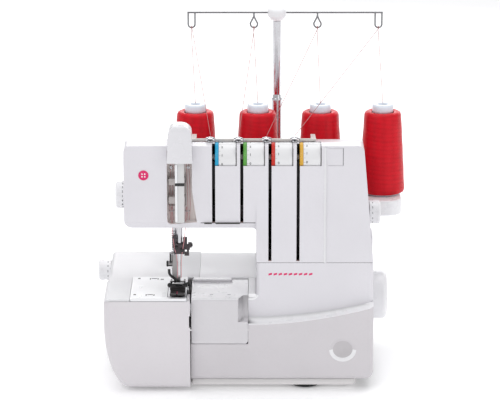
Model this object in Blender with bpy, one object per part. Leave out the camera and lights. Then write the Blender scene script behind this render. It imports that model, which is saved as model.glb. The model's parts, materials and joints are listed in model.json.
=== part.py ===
"""Serger (overlock) machine with four thread cones. Metres, +Z up, the operator sits at -Y.

Every length below is in millimetres; make_mesh turns it into metres.
"""

import math

import bmesh
import bpy
from mathutils import Matrix, Vector

MM = 0.001
GAP = 0.3            # air left between two pieces that touch
WALL = 2.5           # thickness of the plastic shells
EDGE_ROUND = 5.0     # radius along the outer edges of arm and tower
STEP = 0.05          # tiny step that keeps two joined faces from lying in one plane

# Front view (X, Z) of the shells
ARM_LEFT = -141.0
ARM_BOTTOM = 183.0
BODY_TOP = 277.0
TOWER_LEFT = 5.0
TOWER_RIGHT_TOP = 123.0
TOWER_RIGHT_LOW = 134.5
SEAM_Z = 144.3       # split between the upper and the lower front shell
LOW_RIGHT = 135.0
LOW_BOTTOM = 13.0
LEDGE_LEFT = -4.0    # left end of the curved ledge on the lower front

# Side view (Y)
FACE_Y = -84.0       # front of arm and tower
BULGE_Y = -99.0      # front of the lower body below the ledge
BOX_Y = -106.0       # front of the left box
SPLIT_Y = -48.0      # plane where front shells meet the rear shell
FLAT_END_Y = -66.0   # rear end of the flat top, the top slopes down behind it
ARM_REAR_Y = 11.0
ARM_REAR_Z = 262.0
BODY_REAR_Y = 86.0
STEP_Y = -20.0       # front edge of the bed behind the looper cover

# Bed
BED_Z = 108.0
BED_LEFT = -162.4
BED_SPLIT_X = -59.2
PLATE_LEFT = -134.7
PLATE_RIGHT = -72.0
PLATE_FRONT = -105.5
PLATE_TOP = 109.0
PLATE_BOTTOM = 105.8
BOX_LEFT = -164.0
BOX_RIGHT = -68.3
BOX_TOP = 105.5
BOX_BOTTOM = 5.0
LOOPER_LEFT = -67.0
LOOPER_RIGHT = -4.3
LOOPER_TOP = 106.5
LOOPER_BOTTOM = 54.6
LOOPER_BACK = -21.6
GRIP_RIGHT = -22.0     # right end of the raised lip along the cover's rear edge
LOOPER_TURN_X = -10.5   # the cover's front steps back to the tower face right of here

# Thread path on the front
CHANNEL_LEFT = -93.3
CHANNEL_RIGHT = -65.8
CHANNEL_FLARE = -60.4
CHANNEL_DEPTH_Y = -70.0
SLOT_FIRST = -42.0
SLOT_PITCH = 31.0
SLOT_WIDTH = 3.5
SLOT_LOW_ARM = 190.0
SLOT_LOW_TOWER = 146.0
WINDOW_LOW = 254.6
DIAL_Y = -68.2
DIAL_Z = 261.0
DIAL_RADIUS = 16.0
DIAL_START = 1.5        # from the slot's middle to the dial's left end
DIAL_END = 24.8
DIAL_BORE = 3.4
AXLE_RADIUS = 3.0

# Spools
CONE_FIRST = -64.5
CONE_PITCH = 71.5
CONE_Y = 61.0
TRAY_LEFT = -93.0
TRAY_RIGHT = 171.6
TRAY_FRONT = 20.0
TRAY_REAR = 106.0
TRAY_LOW = 168.7
TRAY_TOP = 187.0
PIN_RADIUS = 3.5
PIN_TOP = 285.0
MAST_X = 29.0
MAST_Y = 94.0
TUBE_TOP = 291.0
ROD_RADIUS = 4.6
ROD_LOW = 262.0
CAP_LOW = 382.0
CAP_TOP = 396.6
WIRE_Z = 391.0
WIRE_RADIUS = 1.0
LOOP_X = (-69.0, 2.6, 75.5, 145.4)
LOOP_LOW = 373.4
THREAD_RADIUS = 0.3

# Running gear
SHAFT_Y = -10.0
SHAFT_Z = 85.4
SHAFT_RADIUS = 4.0
WHEEL_RADIUS = 27.3
WHEEL_IN = 135.5
WHEEL_OUT = 153.4
PULLEY_IN = 100.0
PULLEY_OUT = 108.0
BIG_PULLEY = 24.0
SMALL_PULLEY = 8.0
MOTOR_Y = 48.0
MOTOR_Z = 48.0
NEEDLE_X = -80.0
NEEDLE_Y = -76.0
BAR_RADIUS = 3.2
PRESSER_X = -85.0
PRESSER_Y = -63.0
FOOT_PIVOT_Y = -66.0
FOOT_PIVOT_Z = 117.0
KNIFE_PIVOT_Y = -30.0
KNIFE_PIVOT_Z = 84.0
LOWER_LOOPER_PIVOT = (-56.0, 25.0)
UPPER_LOOPER_PIVOT = (-28.0, 62.0)
LIFTER_PIVOT = (-44.0, 191.5)
HANDLE_PIVOT = (-1.0, 267.6)
LOOPER_HINGE = (-97.5, 56.3)
SWITCH_PIVOT = (133.6, 56.0)

WHITE = (0.83, 0.82, 0.85)
STEEL = (0.55, 0.55, 0.56)
DARK = (0.05, 0.05, 0.055)
RED = (0.62, 0.01, 0.03)


def clear_scene():
    for obj in list(bpy.data.objects):
        bpy.data.objects.remove(obj, do_unlink=True)


# ---------------------------------------------------------------- outlines

def fillet(points, steps):
    """Closed outline in which each corner (a, b, radius) is rounded with steps segments."""
    outline = []
    count = len(points)
    for index, (a, b, radius) in enumerate(points):
        here = Vector((a, b))
        if radius <= 0:
            outline.append((a, b))
            continue
        before = (Vector(points[index - 1][:2]) - here).normalized()
        after = (Vector(points[(index + 1) % count][:2]) - here).normalized()
        half = math.acos(max(-1.0, min(1.0, before.dot(after)))) / 2
        centre = here + (before + after).normalized() * (radius / math.sin(half))
        start = here + before * (radius / math.tan(half)) - centre
        end = here + after * (radius / math.tan(half)) - centre
        first = math.atan2(start.y, start.x)
        turn = (math.atan2(end.y, end.x) - first + math.pi) % (2 * math.pi) - math.pi
        for step in range(steps + 1):
            angle = first + turn * step / steps
            outline.append((centre.x + radius * math.cos(angle), centre.y + radius * math.sin(angle)))
    return outline


def rectangle(a0, a1, b0, b1, radius=0.0, steps=3):
    return fillet([(a0, b0, radius), (a1, b0, radius), (a1, b1, radius), (a0, b1, radius)], steps)


# ---------------------------------------------------------------- solids

def make_mesh(name, points, faces):
    """A mesh object from points in millimetres, its faces turned outwards."""
    mesh = bpy.data.meshes.new(name)
    mesh.from_pydata([(x * MM, y * MM, z * MM) for x, y, z in points], [], faces)
    work = bmesh.new()
    work.from_mesh(mesh)
    bmesh.ops.remove_doubles(work, verts=work.verts, dist=1e-7)
    bmesh.ops.recalc_face_normals(work, faces=work.faces)
    if work.calc_volume(signed=True) < 0:
        bmesh.ops.reverse_faces(work, faces=work.faces)
    work.to_mesh(mesh)
    work.free()
    obj = bpy.data.objects.new(name, mesh)
    bpy.context.scene.collection.objects.link(obj)
    return obj


def loft(name, rings):
    """Closed solid through rings of equal length, its two ends capped."""
    count = len(rings[0])
    points = [point for ring in rings for point in ring]
    faces = [tuple(range(count)), tuple(range(len(points) - 1, len(points) - 1 - count, -1))]
    for row in range(len(rings) - 1):
        for k in range(count):
            following = (k + 1) % count
            low = row * count
            faces.append((low + k, low + following, low + count + following, low + count + k))
    return make_mesh(name, points, faces)


def place(axis, a, b, along):
    """A point from two outline coordinates and the one along the axis."""
    if axis == "X":
        return (along, a, b)
    if axis == "Y":
        return (a, along, b)
    return (a, b, along)


def prism(name, axis, outline, low, high):
    return loft(name, [[place(axis, a, b, end) for a, b in outline] for end in (low, high)])


def box(name, x0, x1, y0, y1, z0, z1):
    return prism(name, "Z", rectangle(x0, x1, y0, y1), z0, z1)


def lathe(name, axis, a, b, profile, steps=28, ring=False):
    """Body of revolution from (radius, along) points; ring=True closes the profile on itself."""
    points = []
    rows = []
    for radius, along in profile:
        if radius < 1e-6:
            rows.append([len(points)] * steps)
            points.append(place(axis, a, b, along))
            continue
        rows.append(list(range(len(points), len(points) + steps)))
        for k in range(steps):
            angle = 2 * math.pi * k / steps
            points.append(place(axis, a + radius * math.cos(angle), b + radius * math.sin(angle), along))
    faces = []
    pairs = list(zip(rows, rows[1:]))
    if ring:
        pairs.append((rows[-1], rows[0]))
    for lower, upper in pairs:
        for k in range(steps):
            following = (k + 1) % steps
            corners = [lower[k], lower[following], upper[following], upper[k]]
            corners = [corner for n, corner in enumerate(corners) if corner not in corners[:n]]
            if len(corners) > 2:
                faces.append(tuple(corners))
    return make_mesh(name, points, faces)


def rod(name, axis, a, b, radius, low, high, steps=20):
    return lathe(name, axis, a, b, [(0, low), (radius, low), (radius, high), (0, high)], steps)


def tube(name, path, radius, steps=8):
    """Round wire along a path, with flat ends."""
    path = [Vector(point) for point in path]
    side = Vector((0.37, 0.61, 0.7)).cross(path[1] - path[0]).normalized()
    rings = []
    for k, point in enumerate(path):
        forward = (path[min(k + 1, len(path) - 1)] - path[max(k - 1, 0)]).normalized()
        side = (side - forward * side.dot(forward)).normalized()
        other = forward.cross(side)
        ring = []
        for step in range(steps):
            angle = 2 * math.pi * step / steps
            ring.append(tuple(point + side * (radius * math.cos(angle)) + other * (radius * math.sin(angle))))
        rings.append(ring)
    return loft(name, rings)


# ---------------------------------------------------------------- changes to solids

def apply_modifiers(obj):
    graph = bpy.context.evaluated_depsgraph_get()
    mesh = bpy.data.meshes.new_from_object(obj.evaluated_get(graph))
    old = obj.data
    obj.modifiers.clear()
    obj.data = mesh
    bpy.data.meshes.remove(old)


def combine(obj, others, operation):
    for other in others:
        modifier = obj.modifiers.new("join", "BOOLEAN")
        modifier.operation = operation
        modifier.solver = "EXACT"
        modifier.object = other
        apply_modifiers(obj)
        mesh = other.data
        bpy.data.objects.remove(other, do_unlink=True)
        bpy.data.meshes.remove(mesh)
    return obj


def join(obj, *others):
    return combine(obj, others, "UNION")


def cut(obj, *others):
    return combine(obj, others, "DIFFERENCE")


def common(obj, *others):
    return combine(obj, others, "INTERSECT")


def bevel(obj, width, segments=2, angle=40):
    modifier = obj.modifiers.new("round", "BEVEL")
    modifier.width = width * MM
    modifier.segments = segments
    modifier.limit_method = "ANGLE"
    modifier.angle_limit = math.radians(angle)
    modifier.use_clamp_overlap = True
    apply_modifiers(obj)
    return obj


def finish(obj, name, colour, metallic=0.0, roughness=0.4, origin=None):
    """Names the piece, gives it its material and puts its origin on its joint axis."""
    obj.name = name
    obj.data.name = name
    material = bpy.data.materials.new(name)
    material.use_nodes = True
    shader = material.node_tree.nodes["Principled BSDF"]
    shader.inputs["Base Color"].default_value = (*colour, 1.0)
    shader.inputs["Metallic"].default_value = metallic
    shader.inputs["Roughness"].default_value = roughness
    obj.data.materials.clear()
    obj.data.materials.append(material)
    if origin is not None:
        shift = Vector(origin) * MM
        obj.data.transform(Matrix.Translation(-shift))
        obj.location = shift
    return obj


# ---------------------------------------------------------------- shared shell shapes

def upper_front_outline(inset, steps, low=SEAM_Z):
    """Arm and tower seen from the front, inset inwards."""
    slope = (TOWER_RIGHT_LOW - TOWER_RIGHT_TOP) / (BODY_TOP - SEAM_Z)
    low_right = TOWER_RIGHT_LOW + slope * (SEAM_Z - low) - inset
    return fillet(
        [
            (TOWER_LEFT + inset, low, 0),
            (TOWER_LEFT + inset, ARM_BOTTOM + inset, 5.0 + inset),
            (ARM_LEFT + inset, ARM_BOTTOM + inset, 9.0 - inset),
            (ARM_LEFT + inset, BODY_TOP - inset, 7.0 - inset),
            (TOWER_RIGHT_TOP - inset, BODY_TOP - inset, 7.0 - inset),
            (low_right, low, 0),
        ],
        steps,
    )


def upper_side_outline(inset, front, steps, low=SEAM_Z - 20):
    """Arm and tower seen from the side: flat top, then a slope down to the rear."""
    return fillet(
        [
            (front, low, 0),
            (front, BODY_TOP - inset, 0),
            (FLAT_END_Y, BODY_TOP - inset, 20.0),
            (ARM_REAR_Y - inset, ARM_REAR_Z - inset, 8.0 - inset),
            (ARM_REAR_Y - inset, low, 0),
        ],
        steps,
    )


def upper_solid(inset, front, steps, low=SEAM_Z):
    body = prism("upper", "Y", upper_front_outline(inset, steps, low), front, ARM_REAR_Y - inset)
    return common(
        body, prism("side", "X", upper_side_outline(inset, front, steps, low - 5), ARM_LEFT - 5,
        LOW_RIGHT + 5)
    )


def upper_shell(low):
    """Outer form of arm and tower with rounded edges, closed below at height low."""
    body = bevel(upper_solid(0, FACE_Y, 5, low - 15), EDGE_ROUND, 4, 50)
    return cut(body, box("below", -30, 200, -120, 60, low - 40, low))


def upper_band_cutter():
    """Lets the front of the arm lean back slightly towards its lower edge."""
    return prism(
        "band", "X",
        [(FACE_Y - 5, ARM_BOTTOM - 5), (FACE_Y - 5, 218.0), (FACE_Y, 216.0), (FACE_Y + 1.6, 190.0),
         (FACE_Y + 5.0, ARM_BOTTOM - 1.0), (FACE_Y + 6.0, ARM_BOTTOM - 5)],
        ARM_LEFT - 5, TOWER_LEFT,
    )


def rear_low_outline(inset, front, low):
    return fillet(
        [
            (front, low, 0),
            (BODY_REAR_Y - inset, low, 0),
            (BODY_REAR_Y - inset, 120.0 - inset, 10.0),
            (36.0 - inset, 152.0 - inset, 14.0),
            (-20.0, 165.0 - inset, 0),
            (front, 165.0 - inset, 0),
        ],
        4,
    )


def slot_x(index):
    return SLOT_FIRST + SLOT_PITCH * index


def ledge_back(x):
    u = (x - LEDGE_LEFT) / 133.0
    return 81.5 + 16.4 * u * abs(u)


def ledge_front(x):
    u = max(0.0, (x - LEDGE_LEFT) / 133.0)
    return 76.7 + 18.3 * u ** 1.9


# ---------------------------------------------------------------- fixed shells

def make_base():
    plate = prism(
        "base_plate", "Z",
        fillet([
            (-128, -84, 8), (-67, -84, 0), (-67, -92, 0), (117, -92, 8), (117, 82, 8), (-158, 82, 8),
            (-158, -16, 3),
            (-128, -16, 3),
        ], 4),
        4.3, LOW_BOTTOM - GAP,
    )
    finish(bevel(plate, 1.0, 1), "base_plate", (0.68, 0.67, 0.66))
    feet = {"front_left": (-100, -62), "front_right": (60, -74), "rear_left": (-100, 64),
        "rear_right": (96, 64)}
    for place_name, (x, y) in feet.items():
        foot = lathe("foot", "Z", x, y, [(0, 0), (12.5, 0), (15.5, 1.0), (17, 2.8), (17, 4.0), (0, 4.0)], 28)
        finish(foot, "foot_" + place_name, DARK, roughness=0.8)


def bulge_ring(y, inset, blend, steps):
    """Outline of the lower front at depth y; blend runs from the ledge's front edge to its back edge."""
    right = LOW_RIGHT - inset
    bottom = LOW_BOTTOM + inset
    corner = fillet([(LEDGE_LEFT - 30, bottom, 0), (right, bottom, 8.0 - inset), (right, 60.0, 0)], steps)[1:]
    ring = [(BOX_RIGHT + 0.6, bottom)] + corner[:-1]
    top = []
    for k in range(steps * 3 + 1):
        x = right + (LEDGE_LEFT - right) * k / (steps * 3)
        top.append((x, ledge_front(x) * (1 - blend) + ledge_back(x) * blend))
    ring += top + [(LEDGE_LEFT, LOOPER_BOTTOM - GAP), (BOX_RIGHT + 0.6, LOOPER_BOTTOM - GAP)]
    return [(x, y, z) for x, z in ring]


def make_front_case():
    steps = 4
    rings = []
    for k in range(steps):
        angle = math.radians(90 * k / steps)
        inset = 5.0 * (1 - math.sin(angle))
        rings.append(bulge_ring(BULGE_Y + 5.0 * (1 - math.cos(angle)), inset, 0.33 * k / steps, steps))
    rings.append(bulge_ring(BULGE_Y + 5.0, 0.0, 0.33, steps))
    rings.append(bulge_ring(FACE_Y, 0.0, 1.0, steps))
    rings.append(bulge_ring(SPLIT_Y - GAP / 2, 0.0, 1.0, steps))
    case = loft("front_case", rings)
    upper = prism(
        "low_face", "Y",
        fillet([
            (LEDGE_LEFT - 12, 40.0, 0), (LEDGE_LEFT - 12, 104.0, 0), (TOWER_LEFT, 104.0, 5.0),
            (TOWER_LEFT, SEAM_Z + 15, 0), (TOWER_RIGHT_LOW - 1.2, SEAM_Z + 15, 0),
            (TOWER_RIGHT_LOW, SEAM_Z, 0),
            (LOW_RIGHT, 128.0, 0), (LOW_RIGHT, 40.0, 0),
        ], steps),
        FACE_Y, SPLIT_Y + 10,
    )
    upper = bevel(upper, EDGE_ROUND, 4, 50)
    upper = cut(
        upper,
        box("above", -50, 200, -120, 0, SEAM_Z - GAP, 200),
        box("behind", -50, 200, SPLIT_Y - GAP / 2, 0, 0, 200),
        box("left", -50, LEDGE_LEFT, -120, 0, 0, 200), box("low", -50, 200, -120, 0, 0, 60.0),
    )
    edge = box("edge", LEDGE_LEFT, LEDGE_LEFT + 12, FACE_Y, SPLIT_Y - GAP / 2 - STEP, LOOPER_BOTTOM - GAP,
        62.0)
    case = join(case, upper, edge)
    inner_low = loft("inner_low", [
        [(BOX_RIGHT + 0.6 + WALL, y, 5.0), (LOW_RIGHT - WALL, y, 5.0), (LOW_RIGHT - WALL, y, 74.0),
         (LEDGE_LEFT + WALL, y, 74.0), (LEDGE_LEFT + WALL, y, 60.0), (BOX_RIGHT + 0.6 + WALL, y, 60.0)]
        for y in (BULGE_Y + WALL + 0.8, SPLIT_Y + 5)
    ])
    inner_high = box("inner_high", LEDGE_LEFT + WALL, LOW_RIGHT - WALL, FACE_Y + WALL, SPLIT_Y + 5, 70, 101.5)
    inner_top = box("inner_top", TOWER_LEFT + WALL, LOW_RIGHT - WALL - 0.5, FACE_Y + WALL, SPLIT_Y + 5, 100,
        150)
    case = cut(case, inner_low, inner_high, inner_top)
    boss = box("boss", 82, 120, BULGE_Y + WALL, BULGE_Y + 8.5, 31, 64)
    case = join(case, boss)
    dimple = lathe("dimple", "Y", 0, 0, [(0, -5.2), (6, -4.6), (11, -2.6), (15, 0), (16, 1.2), (0, 1.2)], 24)
    dimple.data.transform(Matrix.Scale(-1, 4, Vector((0, 1, 0))))    # the hollow points to the rear
    dimple.data.flip_normals()
    dimple.data.transform(Matrix.Scale(0.9, 4, Vector((0, 0, 1))))
    dimple.data.transform(Matrix.Translation(Vector((101, BULGE_Y, 47.5)) * MM))
    finish(cut(case, dimple), "front_case", WHITE)


def make_rear_case():
    front = SPLIT_Y + GAP / 2
    case = cut(upper_shell(120.0), box("front", -200, 200, -120, front, 80, 300))
    low = prism("low", "X", rear_low_outline(0, front + STEP, LOW_BOTTOM), TOWER_LEFT + STEP, LOW_RIGHT)
    bed = prism(
        "bed", "X",
        fillet([
            (STEP_Y, LOW_BOTTOM + STEP, 0), (BODY_REAR_Y - STEP, LOW_BOTTOM + STEP, 0),
            (BODY_REAR_Y - STEP, BED_Z, 5),
            (STEP_Y, BED_Z, 1.5),
        ], 3),
        BED_SPLIT_X + GAP, TOWER_LEFT + 3,
    )
    case = join(case, low, bed)
    inner = upper_solid(WALL, FACE_Y, 3, 120.0 + WALL)
    inner_low = prism(
        "inner_low", "X", rear_low_outline(WALL, SPLIT_Y - 6, LOW_BOTTOM - 8), TOWER_LEFT + WALL,
        LOW_RIGHT - WALL
    )
    inner_bed = box(
        "inner_bed", BED_SPLIT_X - 5, TOWER_LEFT + 8, STEP_Y - 5, BODY_REAR_Y - WALL, LOW_BOTTOM - 8,
        BED_Z - WALL
    )
    case = cut(case, inner, inner_low, inner_bed)
    holes = [
        rod("hole", "X", SHAFT_Y, SHAFT_Z, SHAFT_RADIUS + 1.2, 120, 140),
        rod("hole", "X", -9, 182.4, 3.8, 110, 140),
        rod("hole", "X", -29, 207.5, 3.8, -150, -130),
        box("hole", 125, 140, 36.5, 65.5, 22.5, 67.5),
        box("hole", -94, -85.5, -48.5, -4, 180, 190),
        box("hole", TOWER_LEFT - 3, TOWER_LEFT + 5, -41, STEP_Y, 0, 20),
    ]
    finish(cut(case, *holes), "rear_case", WHITE)


def make_tension_panel():
    rear = SPLIT_Y - GAP / 2
    panel = upper_shell(SEAM_Z)
    panel = cut(panel, box("rear", -200, 200, rear, 60, 100, 300), upper_band_cutter())
    inner = upper_solid(WALL, FACE_Y + WALL + 2.4, 3, SEAM_Z - 6)
    panel = cut(panel, inner)
    channel = prism(
        "channel_block", "Y",
        [(CHANNEL_LEFT - 2, ARM_BOTTOM + 1), (CHANNEL_FLARE + 3, ARM_BOTTOM + 1), (CHANNEL_RIGHT + 2, 226),
         (CHANNEL_RIGHT + 2, 276), (CHANNEL_LEFT - 2, 276)],
        FACE_Y + 3, CHANNEL_DEPTH_Y + 2,
    )
    panel = join(panel, channel)
    recess = prism(
        "recess", "Y",
        fillet([(CHANNEL_LEFT, 187, 5), (CHANNEL_FLARE - 3, 190, 0.5), (CHANNEL_FLARE, 190, 0),
        (CHANNEL_RIGHT, 226, 20),
                (CHANNEL_RIGHT, 272, 0), (CHANNEL_LEFT, 272, 0)], 4),
        FACE_Y - 5, CHANNEL_DEPTH_Y,
    )
    cutters = [
        recess,
        box("window", -92.2, -72.5, CHANNEL_DEPTH_Y - 1, CHANNEL_DEPTH_Y + 4, 206, 244),
        rod("hole", "Z", NEEDLE_X, NEEDLE_Y, BAR_RADIUS + 0.8, 175, 195),
        rod("hole", "Z", PRESSER_X, PRESSER_Y, 3.8, 175, 195),
    ]
    for index in range(4):
        x = slot_x(index)
        low = SLOT_LOW_ARM if index < 2 else SLOT_LOW_TOWER
        half = SLOT_WIDTH / 2
        cutters.append(box("slot", x - half, x + half, FACE_Y - 5, -72.0, low, 300))
        left, right = x + DIAL_START - 0.4, x + DIAL_END + 0.5
        cutters.append(box("window", left, right, -90, -50.4, WINDOW_LOW, 300))
        cutters.append(rod("window", "X", DIAL_Y, DIAL_Z, DIAL_RADIUS + 0.35, left + STEP, right - STEP, 40))
    cutters.append(cut(
        box("blank", 82.7, 100.5, FACE_Y - 1, FACE_Y + 0.7, WINDOW_LOW, 275.0),
        box("keep", 83.3, 99.9, FACE_Y - 2, FACE_Y + 2, WINDOW_LOW + 0.6, 274.4),
    ))
    cutters.append(box("lip", CHANNEL_FLARE + 4, TOWER_LEFT - 1, FACE_Y - 2, FACE_Y + 2.9, 189.0, 189.9))
    panel = cut(panel, *cutters)
    rib = loft("rib", [
        [(78.6, FACE_Y + 1, z), (81.5, FACE_Y - 1.7, z), (84.4, FACE_Y + 1, z)] for z in (SEAM_Z,
        BODY_TOP - 1.2)
    ])
    finish(join(panel, rib), "tension_panel", WHITE)


def make_take_up_cover():
    arch = fillet([(-93, 260, 1.0), (-65, 260, 1.0), (-66.5, 302, 12.2), (-91.5, 302, 12.2)], 6)
    hood = prism("hood", "Y", arch, BOX_Y, -58)
    side = fillet([
        (FACE_Y - 12, 258, 0), (FACE_Y - GAP, 258, 0), (FACE_Y - GAP, BODY_TOP + GAP, 0),
        (-61, BODY_TOP + GAP, 0),
        (-63, 290, 6), (-73, 303, 9), (FACE_Y - 9, 303, 9),
    ], 5)
    hood = common(hood, prism("side", "X", side, -100, -60))
    hood = bevel(hood, 3.0, 3, 50)
    strip = box("strip", -84, -74, -91, -88.2, 191.5, 262)
    finish(join(hood, bevel(strip, 0.6, 1)), "take_up_cover", (0.86, 0.86, 0.88))


def make_bed_cover():
    cover = prism(
        "bed_cover", "Y",
        fillet([
            (BED_LEFT, LOW_BOTTOM, 0), (BED_SPLIT_X, LOW_BOTTOM, 0), (BED_SPLIT_X, BED_Z, 0),
            (BED_LEFT, BED_Z, 4),
        ], 4),
        STEP_Y, BODY_REAR_Y,
    )
    cover = common(cover, prism("plan", "Z", fillet(
        [(BED_LEFT, STEP_Y, 0), (BED_SPLIT_X, STEP_Y, 0), (BED_SPLIT_X, BODY_REAR_Y, 0),
        (BED_LEFT, BODY_REAR_Y, 6)], 4,
    ), 0, 120))
    arm = prism("arm", "Y", fillet(
        [(BED_LEFT, PLATE_BOTTOM, 0), (PLATE_LEFT - GAP, PLATE_BOTTOM, 0), (PLATE_LEFT - GAP, BED_Z, 0),
         (BED_LEFT, BED_Z, 2.1)], 4), BOX_Y + 0.6, STEP_Y + 4)
    arm = bevel(arm, 0.8, 2, 60)
    cover = join(cover, arm)
    inner = box("inner", BED_LEFT + WALL, BED_SPLIT_X + 5, STEP_Y - 5, BODY_REAR_Y - WALL, 5, BED_Z - WALL)
    hole = rod("hole", "X", 60, 93.4, 3.8, -170, -150)
    finish(cut(cover, inner, hole), "bed_cover", WHITE)


def make_plates():
    outline = rectangle(PLATE_LEFT, PLATE_RIGHT, PLATE_FRONT, STEP_Y - GAP, 1.5, 2)
    cloth = prism("cloth_plate", "Z", outline, PLATE_BOTTOM, PLATE_TOP)
    cloth = cut(cloth, box("well", -93.3, -60, -99.3, -51.7, 100, 120))
    finish(bevel(cloth, 0.4, 1, 60), "cloth_plate", (0.85, 0.85, 0.87))
    needle = box("needle_plate", -93, PLATE_RIGHT - 0.3, -99, -52, PLATE_BOTTOM, PLATE_TOP)
    slots = [box("slot", x - 1.6, x + 1.6, -92, -56, 100, 120) for x in (-87.5, -76.0)]
    slots.append(box("hole", -84, -75.8 - 0.1, -78.5, -73.5, 100, 120))
    slots.append(box("front_slot", -83.2, -80.6, -95, -82, 100, 120))
    finish(cut(needle, *slots), "needle_plate", (0.72, 0.72, 0.74), 0.8, 0.3)


# ---------------------------------------------------------------- covers that open

def box_ring(y, inset, steps):
    """Outline of the left box: upright at the top left, then a quarter ellipse to the bottom."""
    left = BOX_LEFT + inset
    bottom = BOX_BOTTOM + inset
    ring = [(BOX_RIGHT, bottom), (BOX_RIGHT, BOX_TOP), (left + 2, BOX_TOP), (left, BOX_TOP - 3)]
    for k in range(steps + 1):
        angle = math.radians(90 * k / steps)
        ring.append((-135.0 - (29.0 - inset) * math.cos(angle), 78.0 - (73.0 - inset) * math.sin(angle)))
    return [(x, y, z) for x, z in ring]


def make_side_cover():
    rings = []
    for k in range(5):
        angle = math.radians(90 * k / 4)
        rings.append(box_ring(BOX_Y + 7.0 * (1 - math.cos(angle)), 7.0 * (1 - math.sin(angle)), 12))
    rings.append(box_ring(STEP_Y - GAP, 0.0, 12))
    cover = loft("side_cover", rings)
    inner = loft("inner", [
        [(BOX_RIGHT + 5, y, BOX_BOTTOM + WALL), (BOX_RIGHT + 5, y, 103.0)]
        + [(x + WALL, y, min(z + WALL * 0.4, 103.0)) for x, _, z in box_ring(0, 0.0, 12)[3:-1]]
        + [(-134.0, y, BOX_BOTTOM + WALL)]
        for y in (BOX_Y + WALL + 1.0, STEP_Y + 5)
    ])
    top = box("top", PLATE_LEFT - 0.6, BOX_RIGHT + 5, -101.5, STEP_Y + 5, 95, 115)
    bottom = box("bottom", -136, BOX_RIGHT + 5, -87.0, STEP_Y + 5, -5, 12)
    notch = box("notch", BOX_RIGHT - 1.2, BOX_RIGHT + 5, BOX_Y - 5, BOX_Y + 12, 75.0, 89.0)
    finish(cut(cover, inner, top, bottom, notch), "side_cover", WHITE)


def make_looper_cover():
    front_wall = [
        (FACE_Y + WALL, LOOPER_BOTTOM, 0), (BULGE_Y, LOOPER_BOTTOM, 1.0), (BULGE_Y, LOOPER_TOP, 3.0),
    ]
    cover = prism("wall", "X", fillet(front_wall + [(FACE_Y + WALL, LOOPER_TOP, 0)], 4), LOOPER_LEFT,
        LOOPER_RIGHT)
    flange = prism("flange", "X", fillet([
        (BULGE_Y + STEP, LOOPER_TOP - 6, 0), (BULGE_Y + STEP, LOOPER_TOP, 3.0),
        (LOOPER_BACK, LOOPER_TOP, 1.0),
        (LOOPER_BACK, LOOPER_TOP - 2.8, 0), (BULGE_Y + 8, LOOPER_TOP - 2.8, 0),
    ], 4), LOOPER_LEFT, LOOPER_RIGHT)
    outline = prism("outline", "Y", fillet([
        (LOOPER_LEFT, LOOPER_BOTTOM, 0.5), (LOOPER_RIGHT, LOOPER_BOTTOM, 4.0),
        (LOOPER_RIGHT, LOOPER_TOP + 1, 0), (LOOPER_LEFT, LOOPER_TOP + 1, 0),
    ], 4), BULGE_Y - 5, LOOPER_BACK + 5)
    cover = common(join(cover, flange), outline)
    step = loft("step", [
        [(x, y, z)
         for x, y in fillet([(LOOPER_TURN_X, FACE_Y, 3.0), (LOOPER_TURN_X - 5.0, BULGE_Y, 5.0),
                             (LOOPER_TURN_X - 8.0, BULGE_Y - 5, 0), (5, BULGE_Y - 5, 0), (5, FACE_Y, 0)], 4)]
        for z in (80.0, 120.0)
    ])
    ledge = loft("ledge", [
        [(x, BULGE_Y, 76.7), (x, FACE_Y, 81.6), (x, FACE_Y, 78.0), (x, BULGE_Y - 0.01, 72.0)]
        for x in (LOOPER_TURN_X - 6.0, LOOPER_RIGHT)
    ])
    ledge = common(ledge, box("limit", -30, LOOPER_RIGHT, BULGE_Y + 0.02, FACE_Y + 1, 60, 90))
    grip = box("grip", LOOPER_LEFT + 0.6, GRIP_RIGHT, LOOPER_BACK - 11.0, LOOPER_BACK - STEP,
        LOOPER_TOP - 1.5, LOOPER_TOP + 2.6)
    cover = join(cut(cover, step), bevel(grip, 1.8, 3), ledge)
    cavities = [
        box("cavity", LOOPER_LEFT + WALL, LOOPER_TURN_X - 7.0, BULGE_Y + WALL, LOOPER_BACK + 5, 57.0,
        LOOPER_TOP - 2.8),
        box("cavity", LOOPER_TURN_X - 8.0, LOOPER_RIGHT - WALL, BULGE_Y + WALL, -75, 57.0, 73.0),
    ]
    finish(cut(cover, *cavities), "looper_cover", WHITE, origin=(LOOPER_LEFT, *LOOPER_HINGE))


# ---------------------------------------------------------------- thread stand

def make_spool_tray():
    tray = prism("tray", "Z", rectangle(TRAY_LEFT, TRAY_RIGHT, TRAY_FRONT, TRAY_REAR, 16, 5), TRAY_LOW,
        TRAY_TOP)
    tray = bevel(tray, 2.5, 2, 60)
    inner = prism("inner", "Z", rectangle(
        TRAY_LEFT + 3, TRAY_RIGHT - 3, TRAY_FRONT + 3, TRAY_REAR - 3, 13, 5), TRAY_LOW - 5, TRAY_TOP - 4)
    tray = cut(tray, inner)
    side = [(24, TRAY_TOP - 2), (82, TRAY_TOP - 2), (82, 124.5), (36, 153.4), (24, 156.6)]
    for x in (24, 92):
        tray = join(tray, prism("bracket", "X", side, x, x + 16))
    for index in range(4):
        x = CONE_FIRST + CONE_PITCH * index
        pin = lathe("pin", "Z", x, CONE_Y, [
            (0, TRAY_TOP - 2), (PIN_RADIUS, TRAY_TOP - 2), (PIN_RADIUS, PIN_TOP - 3), (1.5, PIN_TOP),
            (0, PIN_TOP),
        ], 14)
        tray = join(tray, pin)
    finish(tray, "spool_tray", WHITE)


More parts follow.
